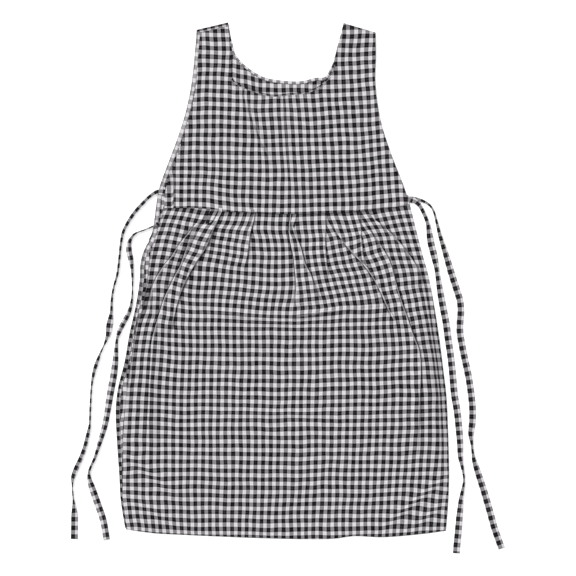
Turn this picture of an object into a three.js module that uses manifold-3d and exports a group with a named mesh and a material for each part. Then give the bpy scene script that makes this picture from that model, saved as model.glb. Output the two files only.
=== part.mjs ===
// Bib apron of black and white gingham cotton, laid flat with its front up: a front bodice
// sewn to a pleated front skirt, a plain back panel under both, and two flat ties at each side.
// Millimetres, +Z up. The origin is on the surface it lies on, under the middle of the panels.

import * as THREE from 'three';
import { mergeVertices } from 'three/addons/utils/BufferGeometryUtils.js';
import Module from 'manifold-3d';

const wasm = await Module();
wasm.setup();

// Driving dimensions
const CLOTH = 1.2; // thickness of a wall of cloth
const GAP = 0.3; // clear space between two layers and along a sewn edge
const FRONT_LEVEL = CLOTH + GAP; // underside of the front, which lies on the back panel
const TIE_WIDTH = 12;
const TIE_STEPS = 40;
const BODICE_SIDE_COLUMNS = 15; // along each armhole
const BODICE_WAIST_COLUMNS = 28; // along the waist seam
const BODICE_ROWS = 10; // from the neckline out to the armholes and the waist
const NECK_SIDE_SHARE = 0.28; // share of the neckline that runs down each strap
const SKIRT_ROWS = 34;
const PLEAT_DROP = 3.5; // how far the steep side of a pleat reaches past its fold
const PLEAT_SWELL = 0.3; // rise of the cloth beside a pleat, as a share of the pleat's own
const PLEAT_END = 1.25; // where a pleat's rise is gone, in lengths from the seam to its foot
const HALVINGS = 40; // steps of the search for a point on an edge
const BACK_INSET = 6; // the back's right edge and hem stay this far inside the front's

// Edges of the pieces, each a smooth curve through its points, from left to right or top to bottom
const NECKLINE = edge([
  [-92, 432], [-87, 398], [-86.5, 350], [-76, 335], [-52, 325], [-20, 316], [12, 318],
  [46, 323], [72, 339], [86, 366], [94, 400], [104, 438],
]);
const ARMHOLE_LEFT = edge([
  [-140, 422], [-144, 372], [-148, 323], [-160, 274], [-178, 215], [-193, 175], [-200, 145], [-200.5, 123.5],
]);
const ARMHOLE_RIGHT = edge([
  [158, 422], [158.5, 380], [157.5, 340], [162, 297], [171, 256], [187, 209], [204, 166], [216, 130],
]);
const WAIST_SEAM = edge([
  [-200.5, 123.5], [-170, 124], [-140, 123.5], [-100, 118], [-45, 116], [13, 113.5], [80, 115], [158, 120.5],
  [216, 130],
]);
const SKIRT_LEFT = edge([
  [-200.5, 123], [-218.5, 69], [-226, 36], [-230, 0], [-238, -47], [-248, -76], [-255, -121], [-266, -199],
  [-271, -270], [-272.5, -372], [-265.5, -422.5],
]);
const SKIRT_RIGHT = edge([
  [216, 129.7], [225, 94], [235.5, 52], [247, 11], [257.5, -43], [266, -97], [273, -152], [278.5, -200],
  [281.5, -270], [282.7, -326], [281.5, -373], [277.5, -424.5],
]);
const HEM = edge([
  [-265.5, -422.5], [-225, -428], [-190, -430.5], [-55, -436.5], [48, -439], [93, -437.5], [123, -433.5],
  [174, -435.5], [242, -429.5], [277.5, -424.5],
]);
const BACK_LEFT = [
  [-145.5, 426], [-150.5, 365], [-156, 324], [-165, 283], [-178, 242], [-193, 202], [-208, 161], [-214, 130],
  [-217, 106], [-222.5, 74], [-235, 51], [-241, 28], [-242.5, -2], [-249, -43], [-259, -87], [-268, -138],
  [-279, -182], [-283, -222], [-281, -271], [-277, -330], [-274.5, -373], [-267, -420],
];
const BACK_NECKLINE = [
  [104, 437], [94, 400], [84, 366], [73, 346.5], [56, 344.5], [30, 338.5], [-4, 340], [-34, 346.5],
  [-62, 364], [-80, 384], [-86, 404], [-92.5, 438.5],
];
// The strip of the back that rolls forward over the left shoulder, up to the front's seam
const SHOULDER_ROLL = [[-145.5, 426], [-140.2, 422.4], [-92.2, 432.4], [-92.5, 438.5]];

// Pleats of the skirt, from left to right. seam is the place of the fold on the waist seam, foot
// the point where it has opened flat, height the rise at the seam, and faces the way its edge
// looks: -1 to the left, 1 to the right.
const PLEATS = [
  { seam: -142, foot: [-222, -2], height: 4.5, faces: -1 },
  { seam: -103, foot: [-181, -62], height: 5, faces: 1 },
  { seam: -48, foot: [-62, 12], height: 3.5, faces: 1 },
  { seam: 8, foot: [25, -20], height: 4, faces: 1 },
  { seam: 24, foot: [56, -10], height: 3, faces: -1 },
  { seam: 72, foot: [184, -42], height: 5, faces: -1 },
  { seam: 130, foot: [190, 18], height: 4.5, faces: 1 },
  { seam: 150, foot: [229, 26], height: 3.5, faces: 1 },
];
const BETWEEN_PLEATS = 2; // columns of the skirt between one pleat and the next

// Creases of the lying cloth: a ridge from one point to another, with its height and half width
const CREASES = [
  { from: [1, 312], to: [3, 122], height: 1.6, half: 9 },
  { from: [-66, 328], to: [-60, 130], height: 1.2, half: 9 },
  { from: [-152, 228], to: [-158, 172], height: 2.2, half: 8 },
  { from: [8, -64], to: [134, -53], height: 4, half: 11 },
  { from: [-48, -226], to: [66, -228], height: 3, half: 10 },
  { from: [12, -252], to: [68, -250], height: 2, half: 9 },
  { from: [276, -326], to: [168, -420], height: 3.5, half: 12 },
  { from: [276, -382], to: [238, -404], height: 2.5, half: 10 },
  { from: [-264, -298], to: [-178, -378], height: 3, half: 11 },
  { from: [-266, -372], to: [-178, -412], height: 2.5, half: 10 },
  { from: [-212, -70], to: [-232, -272], height: 3, half: 9 },
];

// Routes of the ties, from the sewn end to the free end: x, y, the turn of the flat tie about its
// own line in degrees (0 lies flat, 90 stands on its edge), and the level it rests on
const TIE_ROUTES = {
  tie_front_left: [
    [-199.8, 149.5, 0, FRONT_LEVEL], [-213, 151, 10, FRONT_LEVEL], [-226, 143, 35, 0.8], [-237, 132, 50, 0],
    [-248, 120, 55, 0], [-257, 108, 58, 0], [-266, 93, 58, 0], [-271.5, 80, 62, 0], [-275, 60, 62, 0],
    [-277, 40, 62, 0], [-280.5, 12, 62, 0], [-287, -12, 60, 0], [-290, -32, 55, 0], [-291, -55, 42, 0],
    [-294, -76, 12, 0], [-296.5, -92, 30, 0], [-303, -109, 60, 0], [-309.5, -123, 62, 0], [-316, -141, 55, 0],
    [-321, -158, 58, 0], [-324.5, -180, 62, 0], [-326.5, -215, 62, 0], [-327.5, -243, 58, 0],
    [-330, -258, 48, 0], [-336, -283, 35, 0], [-343, -302, 20, 0], [-351, -320, 8, 0], [-356, -334, 40, 0],
    [-357, -346, 62, 0], [-356.5, -360, 60, 0], [-355, -375, 45, 0], [-354, -390, 20, 0],
    [-353.5, -406, 0, 0], [-354, -439, 0, 0],
  ],
  tie_back_left: [
    [-222.2, 95, 0, 0], [-228.8, 91.5, 40, 0], [-237, 85, 60, 0], [-247, 79, 50, 0], [-254, 73, 45, 0],
    [-259.5, 64, 35, 0], [-260.5, 50, 25, 0], [-258, 37, 10, 0], [-256, 22, 35, 0], [-255, 6, 50, 0],
    [-255, -12, 62, 0], [-255.5, -28, 58, 0], [-258, -44, 45, 0], [-262.5, -57, 30, 0], [-269.5, -70, 20, 0],
    [-277, -85, 20, 0], [-281, -98, 40, 0], [-282.5, -112, 40, 0], [-284, -135, 10, 0], [-286.5, -157, 0, 0],
    [-290, -177, 0, 0], [-293.5, -196, 20, 0], [-297.5, -222, 10, 0], [-301, -242, 0, 0], [-305, -257, 0, 0],
    [-310, -273, 10, 0], [-314.5, -287, 25, 0], [-319, -301, 50, 0], [-325, -314, 58, 0], [-329, -326, 45, 0],
    [-328, -338, 20, 0], [-324, -351, 5, 0], [-318.5, -367, 0, 0], [-312.5, -384, 0, 0], [-306.5, -401, 0, 0],
    [-302.5, -418, 0, 0], [-299, -440, 0, 0],
  ],
  tie_front_right: [
    [217.7, 138, 0, FRONT_LEVEL], [226, 135, 8, FRONT_LEVEL], [234, 126.5, 16, FRONT_LEVEL],
    [239, 117, 30, 0.5],
    [243.5, 107, 35, 0], [247.3, 95, 25, 0], [249.5, 80, 5, 0], [252.5, 63, 0, 0], [257, 45, 0, 0],
    [261.5, 23, 10, 0], [264.5, 3, 10, 0], [268.5, -22, 0, 0], [273, -46, 0, 0], [278, -72, 0, 0],
    [281.5, -99, 0, 0], [286, -130, 0, 0], [289, -159, 0, 0], [292, -193, 5, 0], [296.5, -220, 0, 0],
    [299.5, -247, 0, 0], [301.5, -275, 0, 0], [302, -297, 0, 0], [304.5, -312, 15, 0], [307.5, -328, 40, 0],
    [308.5, -340, 50, 0], [306.5, -354, 45, 0], [303.5, -370, 35, 0], [302, -386, 20, 0], [300.5, -402, 0, 0],
    [298.5, -428, 0, 0], [296.3, -450, 0, 0], [295.5, -463, 0, 0],
  ],
  tie_back_right: [
    [209.8, 140, 0, 0], [221, 139.5, 0, 0], [231, 138, 10, 0], [242, 134, 32, 0], [251, 127.5, 48, 0],
    [257, 117.5, 55, 0], [260, 107, 45, 0], [263.5, 93, 25, 0], [267, 79, 10, 0], [271.5, 64, 0, 0],
    [279.5, 38, 0, 0], [287.5, 11, 0, 0], [295.5, -14, 0, 0], [301, -32, 10, 0], [303, -50, 10, 0],
    [301.5, -72, 10, 0], [301.5, -88, 5, 0], [304.5, -107, 0, 0], [309.5, -132, 0, 0], [315.5, -160, 0, 0],
    [320, -189, 0, 0], [322.5, -214, 0, 0], [322.5, -239, 0, 0], [320, -260, 5, 0], [321.5, -276, 30, 0],
    [323, -290, 52, 0], [325, -303, 30, 0], [329.5, -318, 0, 0], [335, -335, 0, 0], [341.5, -355, 0, 0],
    [347.5, -375, 0, 0], [354, -398, 0, 0], [360, -420, 0, 0], [367, -440, 0, 0], [372.5, -455, 0, 0],
  ],
};

// A smooth flat curve through [x, y] points
function edge(points) {
  return new THREE.SplineCurve(points.map(([x, y]) => new THREE.Vector2(x, y)));
}

// The point of an edge that runs down the page, at height y
function pointAtHeight(side, y) {
  let above = 0;
  let below = 1;
  for (let step = 0; step < HALVINGS; step += 1) {
    const middle = (above + below) / 2;
    if (side.getPoint(middle).y > y) above = middle;
    else below = middle;
  }
  return side.getPoint(above);
}

// Height of an edge that runs from left to right, at a share of its width
function heightOnRow(row, share) {
  const start = row.getPoint(0).x;
  const x = THREE.MathUtils.lerp(start, row.getPoint(1).x, share);
  let low = 0;
  let high = 1;
  for (let step = 0; step < HALVINGS; step += 1) {
    const middle = (low + high) / 2;
    if (row.getPoint(middle).x < x) low = middle;
    else high = middle;
  }
  return row.getPoint(low).y;
}

// Height that the creases add at a point of the front
function creaseHeight(x, y) {
  let height = 0;
  for (const crease of CREASES) {
    const run = new THREE.Line3(
      new THREE.Vector3(...crease.from, 0),
      new THREE.Vector3(...crease.to, 0),
    );
    const share = run.closestPointToPointParameter(new THREE.Vector3(x, y, 0), true);
    const nearest = run.at(share, new THREE.Vector3());
    const offset = Math.hypot(x - nearest.x, y - nearest.y) / crease.half;
    const taper = Math.sqrt(Math.abs(Math.sin(Math.PI * share)));
    height += crease.height * taper * Math.exp(-offset * offset);
  }
  return height;
}

// Split each cell of a box's underside along its other diagonal, the one that the cell above it has,
// so that the two sides of a twisted wall stay parallel
function turnUnderside(box) {
  const { start, count } = box.groups[box.groups.length - 1];
  for (let first = start; first < start + count; first += 6) {
    const [a, b, d, , c] = Array.from(box.index.array.slice(first, first + 6));
    box.index.array.set([a, b, c, a, c, d], first);
  }
}

// A closed slab of cells whose points are placed by place(across, along, side), with across and
// along from 0 to 1 and side 0 on the underside, 1 on the upper side
function slab(columns, rows, place) {
  const box = new THREE.BoxGeometry(1, 1, 1, columns, rows, 1);
  box.deleteAttribute('normal');
  box.deleteAttribute('uv');
  turnUnderside(box);
  const wall = mergeVertices(box);
  const spots = wall.getAttribute('position');
  for (let index = 0; index < spots.count; index += 1) {
    const across = Math.round((spots.getX(index) + 0.5) * columns) / columns;
    const along = Math.round((0.5 - spots.getY(index)) * rows) / rows;
    const spot = place(across, along, spots.getZ(index) > 0 ? 1 : 0);
    spots.setXYZ(index, spot.x, spot.y, spot.z);
  }
  wall.computeVertexNormals();
  return wall;
}

// Turn a closed geometry into a solid that can be joined, and back
function toSolid(geometry) {
  geometry.deleteAttribute('normal');
  geometry.deleteAttribute('uv');
  const merged = mergeVertices(geometry);
  return new wasm.Manifold(new wasm.Mesh({
    numProp: 3,
    vertProperties: new Float32Array(merged.getAttribute('position').array),
    triVerts: new Uint32Array(merged.index.array),
  }));
}

function toGeometry(solid) {
  const mesh = solid.getMesh();
  const geometry = new THREE.BufferGeometry();
  geometry.setAttribute('position', new THREE.BufferAttribute(mesh.vertProperties, 3));
  geometry.setIndex(new THREE.BufferAttribute(mesh.triVerts, 1));
  geometry.computeVertexNormals();
  return geometry;
}

// Front bodice: a band of cloth from the neckline out to the armholes and the waist seam, so that
// its columns run from the neckline outwards and its two ends are the shoulder seams
function frontBodice() {
  const columns = 2 * BODICE_SIDE_COLUMNS + BODICE_WAIST_COLUMNS;
  const firstTurn = BODICE_SIDE_COLUMNS / columns;
  const lastTurn = 1 - firstTurn;
  const outerPoint = (across) => {
    if (across < firstTurn) return ARMHOLE_LEFT.getPointAt(across / firstTurn);
    if (across > lastTurn) return ARMHOLE_RIGHT.getPointAt((1 - across) / firstTurn);
    return WAIST_SEAM.getPointAt((across - firstTurn) / (lastTurn - firstTurn));
  };
  const neckShare = (across) => {
    if (across < firstTurn) return NECK_SIDE_SHARE * (across / firstTurn);
    if (across > lastTurn) return 1 - NECK_SIDE_SHARE * ((1 - across) / firstTurn);
    const middle = (across - firstTurn) / (lastTurn - firstTurn);
    return NECK_SIDE_SHARE + (1 - 2 * NECK_SIDE_SHARE) * middle;
  };
  return slab(columns, BODICE_ROWS, (across, along, side) => {
    const flat = NECKLINE.getPointAt(neckShare(across)).lerp(outerPoint(across), along);
    const z = FRONT_LEVEL + creaseHeight(flat.x, flat.y) + side * CLOTH;
    return new THREE.Vector3(flat.x, flat.y, z);
  });
}

// Place of each column of the skirt across one row, with the rise of the pleat it belongs to
function skirtStations(left, right, y) {
  const stations = [];
  let last = { x: left, rise: 0 };
  const fillTo = (next) => {
    for (let step = 1; step <= BETWEEN_PLEATS; step += 1) {
      const share = step / (BETWEEN_PLEATS + 1);
      const swell = Math.max(last.rise, next.rise) * PLEAT_SWELL;
      stations.push({ x: THREE.MathUtils.lerp(last.x, next.x, share), rise: swell });
    }
  };
  stations.push(last);
  for (const pleat of PLEATS) {
    const [footX, footY] = pleat.foot;
    const seamY = WAIST_SEAM.getPoint(0.5).y;
    const opened = (seamY - y) / (seamY - footY);
    let x = THREE.MathUtils.lerp(pleat.seam, footX, Math.min(opened, 1));
    if (opened > 1) {
      const footLeft = pointAtHeight(SKIRT_LEFT, footY).x;
      const footRight = pointAtHeight(SKIRT_RIGHT, footY).x;
      const share = (footX - footLeft) / (footRight - footLeft);
      x = THREE.MathUtils.lerp(left, right, share);
    }
    const rise = pleat.height * THREE.MathUtils.smoothstep(PLEAT_END - opened, 0, 1);
    const crest = { x, rise };
    const foot = { x: x + pleat.faces * PLEAT_DROP, rise: 0 };
    const pair = pleat.faces > 0 ? [crest, foot] : [foot, crest];
    fillTo(pair[0]);
    stations.push(...pair);
    last = pair[1];
  }
  const end = { x: right, rise: 0 };
  fillTo(end);
  stations.push(end);
  return stations;
}

// Front skirt: rows from the waist seam to the hem, each with a column on every pleat's fold
function frontSkirt() {
  const columns = PLEATS.length * 2 + (PLEATS.length + 1) * BETWEEN_PLEATS + 1;
  const seamLeft = SKIRT_LEFT.getPoint(0);
  const seamRight = SKIRT_RIGHT.getPoint(0);
  const hemLeft = SKIRT_LEFT.getPoint(1);
  const hemRight = SKIRT_RIGHT.getPoint(1);
  return slab(columns, SKIRT_ROWS, (across, along, side) => {
    const left = pointAtHeight(SKIRT_LEFT, THREE.MathUtils.lerp(seamLeft.y, hemLeft.y, along));
    const right = pointAtHeight(SKIRT_RIGHT, THREE.MathUtils.lerp(seamRight.y, hemRight.y, along));
    const stations = skirtStations(left.x, right.x, (left.y + right.y) / 2);
    const { x, rise } = stations[Math.round(across * columns)];
    const share = (x - left.x) / (right.x - left.x);
    const top = heightOnRow(WAIST_SEAM, share) - GAP;
    const y = THREE.MathUtils.lerp(top, heightOnRow(HEM, share), along);
    const z = FRONT_LEVEL + rise + creaseHeight(x, y) + side * CLOTH;
    return new THREE.Vector3(x, y, z);
  });
}

// Back panel: one flat piece, with the strip that rolls over the left shoulder standing up to the
// level of the front
function backPanel() {
  const outline = new THREE.Shape();
  const toVectors = (points) => points.map(([x, y]) => new THREE.Vector2(x, y));
  const inset = (side) => side.points.map(({ x, y }) => new THREE.Vector2(x - BACK_INSET, y));
  const raised = HEM.points.slice(1, -1).map(({ x, y }) => new THREE.Vector2(x, y + BACK_INSET / 2));
  const bodiceRight = inset(ARMHOLE_RIGHT).reverse();
  const skirtRight = inset(SKIRT_RIGHT).reverse();
  const [start, ...left] = toVectors(BACK_LEFT);
  outline.moveTo(start.x, start.y);
  outline.splineThru(left);
  outline.splineThru(raised);
  outline.lineTo(skirtRight[0].x, skirtRight[0].y + BACK_INSET / 2);
  outline.splineThru([...skirtRight.slice(1, -1), ...bodiceRight]);
  outline.lineTo(BACK_NECKLINE[0][0], BACK_NECKLINE[0][1]);
  outline.splineThru(toVectors(BACK_NECKLINE.slice(1)));
  outline.closePath();
  const flat = new THREE.ExtrudeGeometry(outline, { depth: CLOTH, bevelEnabled: false, curveSegments: 3 });
  const strip = new THREE.Shape(toVectors(SHOULDER_ROLL));
  const roll = new THREE.ExtrudeGeometry(strip, { depth: FRONT_LEVEL + CLOTH, bevelEnabled: false });
  return toGeometry(toSolid(flat).add(toSolid(roll)));
}

// A flat tie along its route, turned about its own line and resting on the level below it
function tie(route) {
  const line = new THREE.CatmullRomCurve3(route.map(([x, y, , level]) => new THREE.Vector3(x, y, level)));
  const turns = new THREE.CatmullRomCurve3(route.map(([, , turn]) => new THREE.Vector3(turn, 0, 0)));
  const up = new THREE.Vector3(0, 0, 1);
  return slab(1, TIE_STEPS, (across, along, side) => {
    const heading = line.getTangent(along).setZ(0).normalize();
    const turn = THREE.MathUtils.degToRad(turns.getPoint(along).x);
    const flatWise = new THREE.Vector3().crossVectors(up, heading).applyAxisAngle(heading, turn);
    const upWise = up.clone().applyAxisAngle(heading, turn);
    const rest = (TIE_WIDTH * Math.abs(Math.sin(turn)) + CLOTH * Math.abs(Math.cos(turn))) / 2;
    const spot = line.getPoint(along);
    return spot.setZ(Math.max(spot.z, 0) + rest)
      .addScaledVector(flatWise, (across - 0.5) * TIE_WIDTH)
      .addScaledVector(upWise, (side - 0.5) * CLOTH);
  });
}

// Woven cotton: the grey that the checks make together, dull all over
function addPiece(group, name, geometry, color) {
  const cotton = new THREE.MeshStandardMaterial({ color, roughness: 0.9, metalness: 0 });
  const piece = new THREE.Mesh(geometry, cotton);
  piece.name = name;
  group.add(piece);
}

const apron = new THREE.Group();
addPiece(apron, 'front_bodice', frontBodice(), '#8b888c');
addPiece(apron, 'front_skirt', frontSkirt(), '#858286');
addPiece(apron, 'back_panel', backPanel(), '#7d7a7e');
for (const [name, route] of Object.entries(TIE_ROUTES)) {
  addPiece(apron, name, tie(route), '#77747a');
}

export default apron;
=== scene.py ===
"""Looks of a black and white gingham bib apron that lies flat with its front up.

The cloth panels, ties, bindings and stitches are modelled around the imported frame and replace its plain
solids. Sizes are in millimetres, as a maker would write them, and become metres when a mesh is made.
"""

import logging
import math
from dataclasses import dataclass
from enum import Enum
from typing import Callable

import bmesh
import bpy
import numpy as np
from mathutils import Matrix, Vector
from mathutils import noise


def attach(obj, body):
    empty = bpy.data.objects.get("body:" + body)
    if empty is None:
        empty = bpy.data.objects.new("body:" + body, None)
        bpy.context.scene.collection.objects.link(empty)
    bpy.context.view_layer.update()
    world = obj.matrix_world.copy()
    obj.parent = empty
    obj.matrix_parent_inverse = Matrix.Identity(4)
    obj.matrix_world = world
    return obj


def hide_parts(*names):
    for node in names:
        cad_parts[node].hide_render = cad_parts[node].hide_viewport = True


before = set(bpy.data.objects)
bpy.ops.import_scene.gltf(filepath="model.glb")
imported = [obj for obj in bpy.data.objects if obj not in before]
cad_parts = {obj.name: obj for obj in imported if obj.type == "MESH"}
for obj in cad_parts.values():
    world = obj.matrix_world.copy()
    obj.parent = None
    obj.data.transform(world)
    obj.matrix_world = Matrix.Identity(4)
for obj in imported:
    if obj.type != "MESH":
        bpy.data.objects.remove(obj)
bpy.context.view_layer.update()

Array = np.ndarray
Points = tuple[tuple[float, ...], ...]
Piece = bpy.types.Object
Material = bpy.types.Material
NodeTree = bpy.types.NodeTree
Node = bpy.types.Node
Socket = bpy.types.NodeSocket

log = logging.getLogger("apron")

MM = 0.001
WEAR_AND_PAINTED_LIGHT = "wear_and_painted_light"  # attribute from -1 to 1: above 0 paler, rubbed wear and painted highlight on pressed edges and crease tops; below 0 painted shade in recesses beside folds, below creases, under the bodice's edge and along edges
CLOTH_MAP = "flat_cloth"  # UV map that holds each point's place on the cut cloth, in metres
BODY = "root"
UP = np.array((0.0, 0.0, 1.0))
WHITE_LIGHT = (1.0, 1.0, 1.0, 1.0)

# Levels of the middle of each layer of cloth, and the thickness of a layer
BACK_LEVEL = 0.65
FRONT_LEVEL = 2.0
SINGLE = 0.5
DOUBLED = 1.0

# Steps in from a hemmed edge, where the grids have their lines, and the relief of the hem on them
HEM_STEPS = (0.0, 0.5, 1.4, 3.2, 5.0, 6.2, 8.0)
HEM_RISE = (-0.30, 0.05, 0.30, 0.32, 0.08, 0.22, 0.0)
HEM_STITCH = 5.0
HEM_LINE = HEM_STEPS.index(HEM_STITCH)  # the grid line that the stitches follow


def ease(share: Array) -> Array:
    """Turn shares into a smooth rise from 0 to 1."""
    share = np.clip(share, 0.0, 1.0)
    return share * share * (3.0 - 2.0 * share)


def past(place: Array, start: float | Array, run: float) -> Array:
    """Smooth rise from 0 at a start to 1 a run further on, or the other way where the run is less than 0."""
    return ease((place - start) / run)


def bell(out: Array | float, half: Array | float) -> Array:
    """Bell curve: 1 at its middle, and almost nothing two half widths out."""
    return np.exp(-((out / half) ** 2))


def run_lengths(run: Array) -> Array:
    """Length along a row of points, from the first of them to each."""
    steps = np.linalg.norm(np.diff(run, axis=0), axis=1)
    return np.concatenate(([0.0], np.cumsum(steps)))


def hem_rise(inset: Array) -> Array:
    """Height of a turned hem, by the distance in from its edge."""
    return np.interp(inset, HEM_STEPS, HEM_RISE)


def hem_layers(inset: Array) -> Array:
    """Share of doubling by the distance in from a hemmed edge: 1 in the hem, 0 past its stitches."""
    return np.interp(inset, (HEM_STITCH, HEM_STEPS[-1]), (1.0, 0.0))


FINE_STEPS = 24  # points of a finely drawn curve for each point of its own
NUDGE = 0.002  # share of a curve on both sides of a place that gives its direction there
AWAY_STEPS = 260  # points of a curve that distances are taken from


@dataclass(frozen=True)
class Edge:
    """A smooth curve through a few points, in any number of columns."""

    points: Points

    def at(self, share: Array) -> Array:
        """Find points of the curve.

        Args:
            share: Places from 0 to 1, even between the curve's own points.

        Returns:
            A row for each place.
        """
        knots = np.array(self.points, float)
        last = len(knots) - 1
        place = np.clip(share, 0.0, 1.0) * last
        first = np.minimum(place.astype(int), last - 1)
        part = (place - first)[:, None]
        before = knots[np.maximum(first - 1, 0)]
        start = knots[first]
        end = knots[first + 1]
        after = knots[np.minimum(first + 2, last)]
        slope = end - before
        bend = 2.0 * before - 5.0 * start + 4.0 * end - after
        twist = 3.0 * start - before - 3.0 * end + after
        return start + 0.5 * part * (slope + part * (bend + part * twist))

    def fine(self) -> Array:
        """Many points of the curve, even between its own points."""
        return self.at(np.linspace(0.0, 1.0, FINE_STEPS * len(self.points)))

    def evenly(self, share: Array) -> Array:
        """Find points by the curve's length.

        Args:
            share: Places from 0 to 1, as shares of the length.

        Returns:
            A row for each place.
        """
        run = self.fine()
        length = run_lengths(run)
        places = np.linspace(0.0, 1.0, len(run))
        return self.at(np.interp(share, length / length[-1], places))

    def x_at(self, y: Array) -> Array:
        """X of an edge that runs down the page, at heights y."""
        run = self.fine()
        return np.interp(-np.asarray(y), -run[:, 1], run[:, 0])

    def y_at(self, x: Array) -> Array:
        """Y of an edge that runs from left to right, at places x."""
        run = self.fine()
        return np.interp(x, run[:, 0], run[:, 1])

    def x_down(self, share: float) -> float:
        """X of an edge that runs down the page, at a share of its height."""
        top, bottom = self.points[0][1], self.points[-1][1]
        return float(self.x_at(top + share * (bottom - top)))

    def y_across(self, share: Array) -> Array:
        """Y of an edge that runs from left to right, at shares of its width."""
        first, last = self.points[0][0], self.points[-1][0]
        return self.y_at(first + share * (last - first))


def rightwards(curve: Callable[[Array], Array], share: Array) -> Array:
    """Find the directions across a curve.

    Args:
        curve: Gives points of the curve at shares of it.
        share: Places from 0 to 1.

    Returns:
        Directions of length 1 at the places, to the right of the way along.
    """
    ahead = (curve(share + NUDGE) - curve(share - NUDGE))[:, :2]
    ahead /= np.linalg.norm(ahead, axis=1)[:, None]
    return np.column_stack((ahead[:, 1], -ahead[:, 0]))


def away(edge: Edge, x: Array, y: Array) -> Array:
    """Measure how far points are from a curve.

    Args:
        edge: The curve.
        x: X of the points.
        y: Y of the points.

    Returns:
        The distance of each point.
    """
    nearest = np.full(len(x), np.inf)
    for spot in edge.evenly(np.linspace(0.0, 1.0, AWAY_STEPS)):
        nearest = np.minimum(nearest, np.hypot(x - spot[0], y - spot[1]))
    return nearest


NECKLINE = Edge((
    (-92, 432), (-87, 398), (-86.5, 350), (-76, 335), (-52, 325), (-20, 316), (12, 318),
    (46, 323), (72, 339), (86, 366), (94, 400), (104, 438),
))
ARMHOLE_LEFT = Edge((
    (-140, 422), (-144, 372), (-148, 323), (-160, 274), (-178, 215), (-193, 175), (-200, 145),
    (-200.5, 123.5),
))
ARMHOLE_RIGHT = Edge((
    (158, 422), (158.5, 380), (157.5, 340), (162, 297), (171, 256), (187, 209), (204, 166), (216, 130),
))
WAIST_SEAM = Edge((
    (-200.5, 123.5), (-170, 124), (-140, 123.5), (-100, 118), (-45, 116), (13, 113.5), (80, 115),
    (158, 120.5), (216, 130),
))
SKIRT_LEFT = Edge((
    (-200.5, 123), (-218.5, 69), (-226, 36), (-230, 0), (-238, -47), (-248, -76), (-255, -121),
    (-266, -199), (-271, -270), (-272.5, -372), (-265.5, -422.5),
))
SKIRT_RIGHT = Edge((
    (216, 129.7), (225, 94), (235.5, 52), (247, 11), (257.5, -43), (266, -97), (273, -152), (278.5, -200),
    (281.5, -270), (282.7, -326), (281.5, -373), (277.5, -424.5),
))
HEM = Edge((
    (-265.5, -422.5), (-225, -428), (-190, -430.5), (-55, -436.5), (48, -439), (93, -437.5), (123, -433.5),
    (174, -435.5), (242, -429.5), (277.5, -424.5),
))
BACK_LEFT = Edge((
    (-145.5, 426), (-150.5, 365), (-156, 324), (-165, 283), (-178, 242), (-193, 202), (-208, 161),
    (-214, 130), (-217, 106), (-222.5, 74), (-235, 51), (-241, 28), (-242.5, -2), (-249, -43), (-259, -87),
    (-268, -138), (-279, -182), (-283, -222), (-281, -271), (-277, -330), (-274.5, -373), (-267, -420),
))
BACK_NECKLINE = Edge((
    (-92.5, 438.5), (-86, 404), (-80, 384), (-62, 364), (-34, 346.5), (-4, 340), (30, 338.5), (56, 344.5),
    (73, 346.5), (84, 366), (94, 400), (104, 437),
))
BACK_INSET = 6.0  # the back's right edge and hem stay this far inside the front's

LOWER_SHARE = 0.6  # the lower side of a crease has this share of its half width
# The painted highlight along the top of a crease, and the painted shade below it: distance above the ridge,
# and strength
CREASE_LIGHT_LINES = ((1.0, 0.7), (-2.2, -1.0))
CREASE_LIGHT_HALF = 1.6


@dataclass(frozen=True)
class Crease:
    """A ridge of the lying cloth between two points."""

    start: tuple[float, float]
    end: tuple[float, float]
    height: float
    half: float
    line: float = 0.0  # how sharply its ridge was pressed, which sets the strength of its painted highlight and shade
    drag: float = 0.0

    def across(self, x: Array, y: Array) -> tuple[Array, Array]:
        """Find where points lie beside the ridge.

        Args:
            x: X of the points.
            y: Y of the points.

        Returns:
            Distance of each point from the ridge, less than 0 below it, and the ridge's strength there.
        """
        run = np.subtract(self.end, self.start)
        length = float(np.hypot(*run))
        along = run / length
        away_x = x - self.start[0]
        away_y = y - self.start[1]
        share = np.clip((away_x * along[0] + away_y * along[1]) / length, 0.0, 1.0)
        gap_x = away_x - share * run[0]
        gap_y = away_y - share * run[1]
        above = along[0] * gap_y - along[1] * gap_x > 0.0
        return np.hypot(gap_x, gap_y) * np.where(above, 1.0, -1.0), np.sqrt(np.abs(np.sin(np.pi * share)))

    def height_at(self, x: Array, y: Array) -> Array:
        """Find the height of the ridge, which is steeper on its lower side.

        Args:
            x: X of the points.
            y: Y of the points.

        Returns:
            The height at each point.
        """
        gap, strength = self.across(x, y)
        half = np.where(gap > 0.0, self.half, LOWER_SHARE * self.half)
        return self.height * strength * bell(gap, half)

    def drag_at(self, x: Array, y: Array) -> Array:
        """Args:
            x: X of the points.
            y: Y of the points.

        Returns:
            The drag at each point.
        """
        gap, strength = self.across(x, y)
        out = gap / self.half
        return self.drag * strength * out * np.exp(0.5 - 0.5 * out ** 2)

    def painted_light_at(self, x: Array, y: Array) -> Array:
        """Find the painted light of the ridge: a painted highlight along its top, and painted shade in the
        fold below it.

        Args:
            x: X of the points.
            y: Y of the points.

        Returns:
            The painted light at each point.
        """
        gap, strength = self.across(x, y)
        lines = sum(tone * bell(gap - place, CREASE_LIGHT_HALF) for place, tone in CREASE_LIGHT_LINES)
        return self.line * strength * lines
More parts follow.
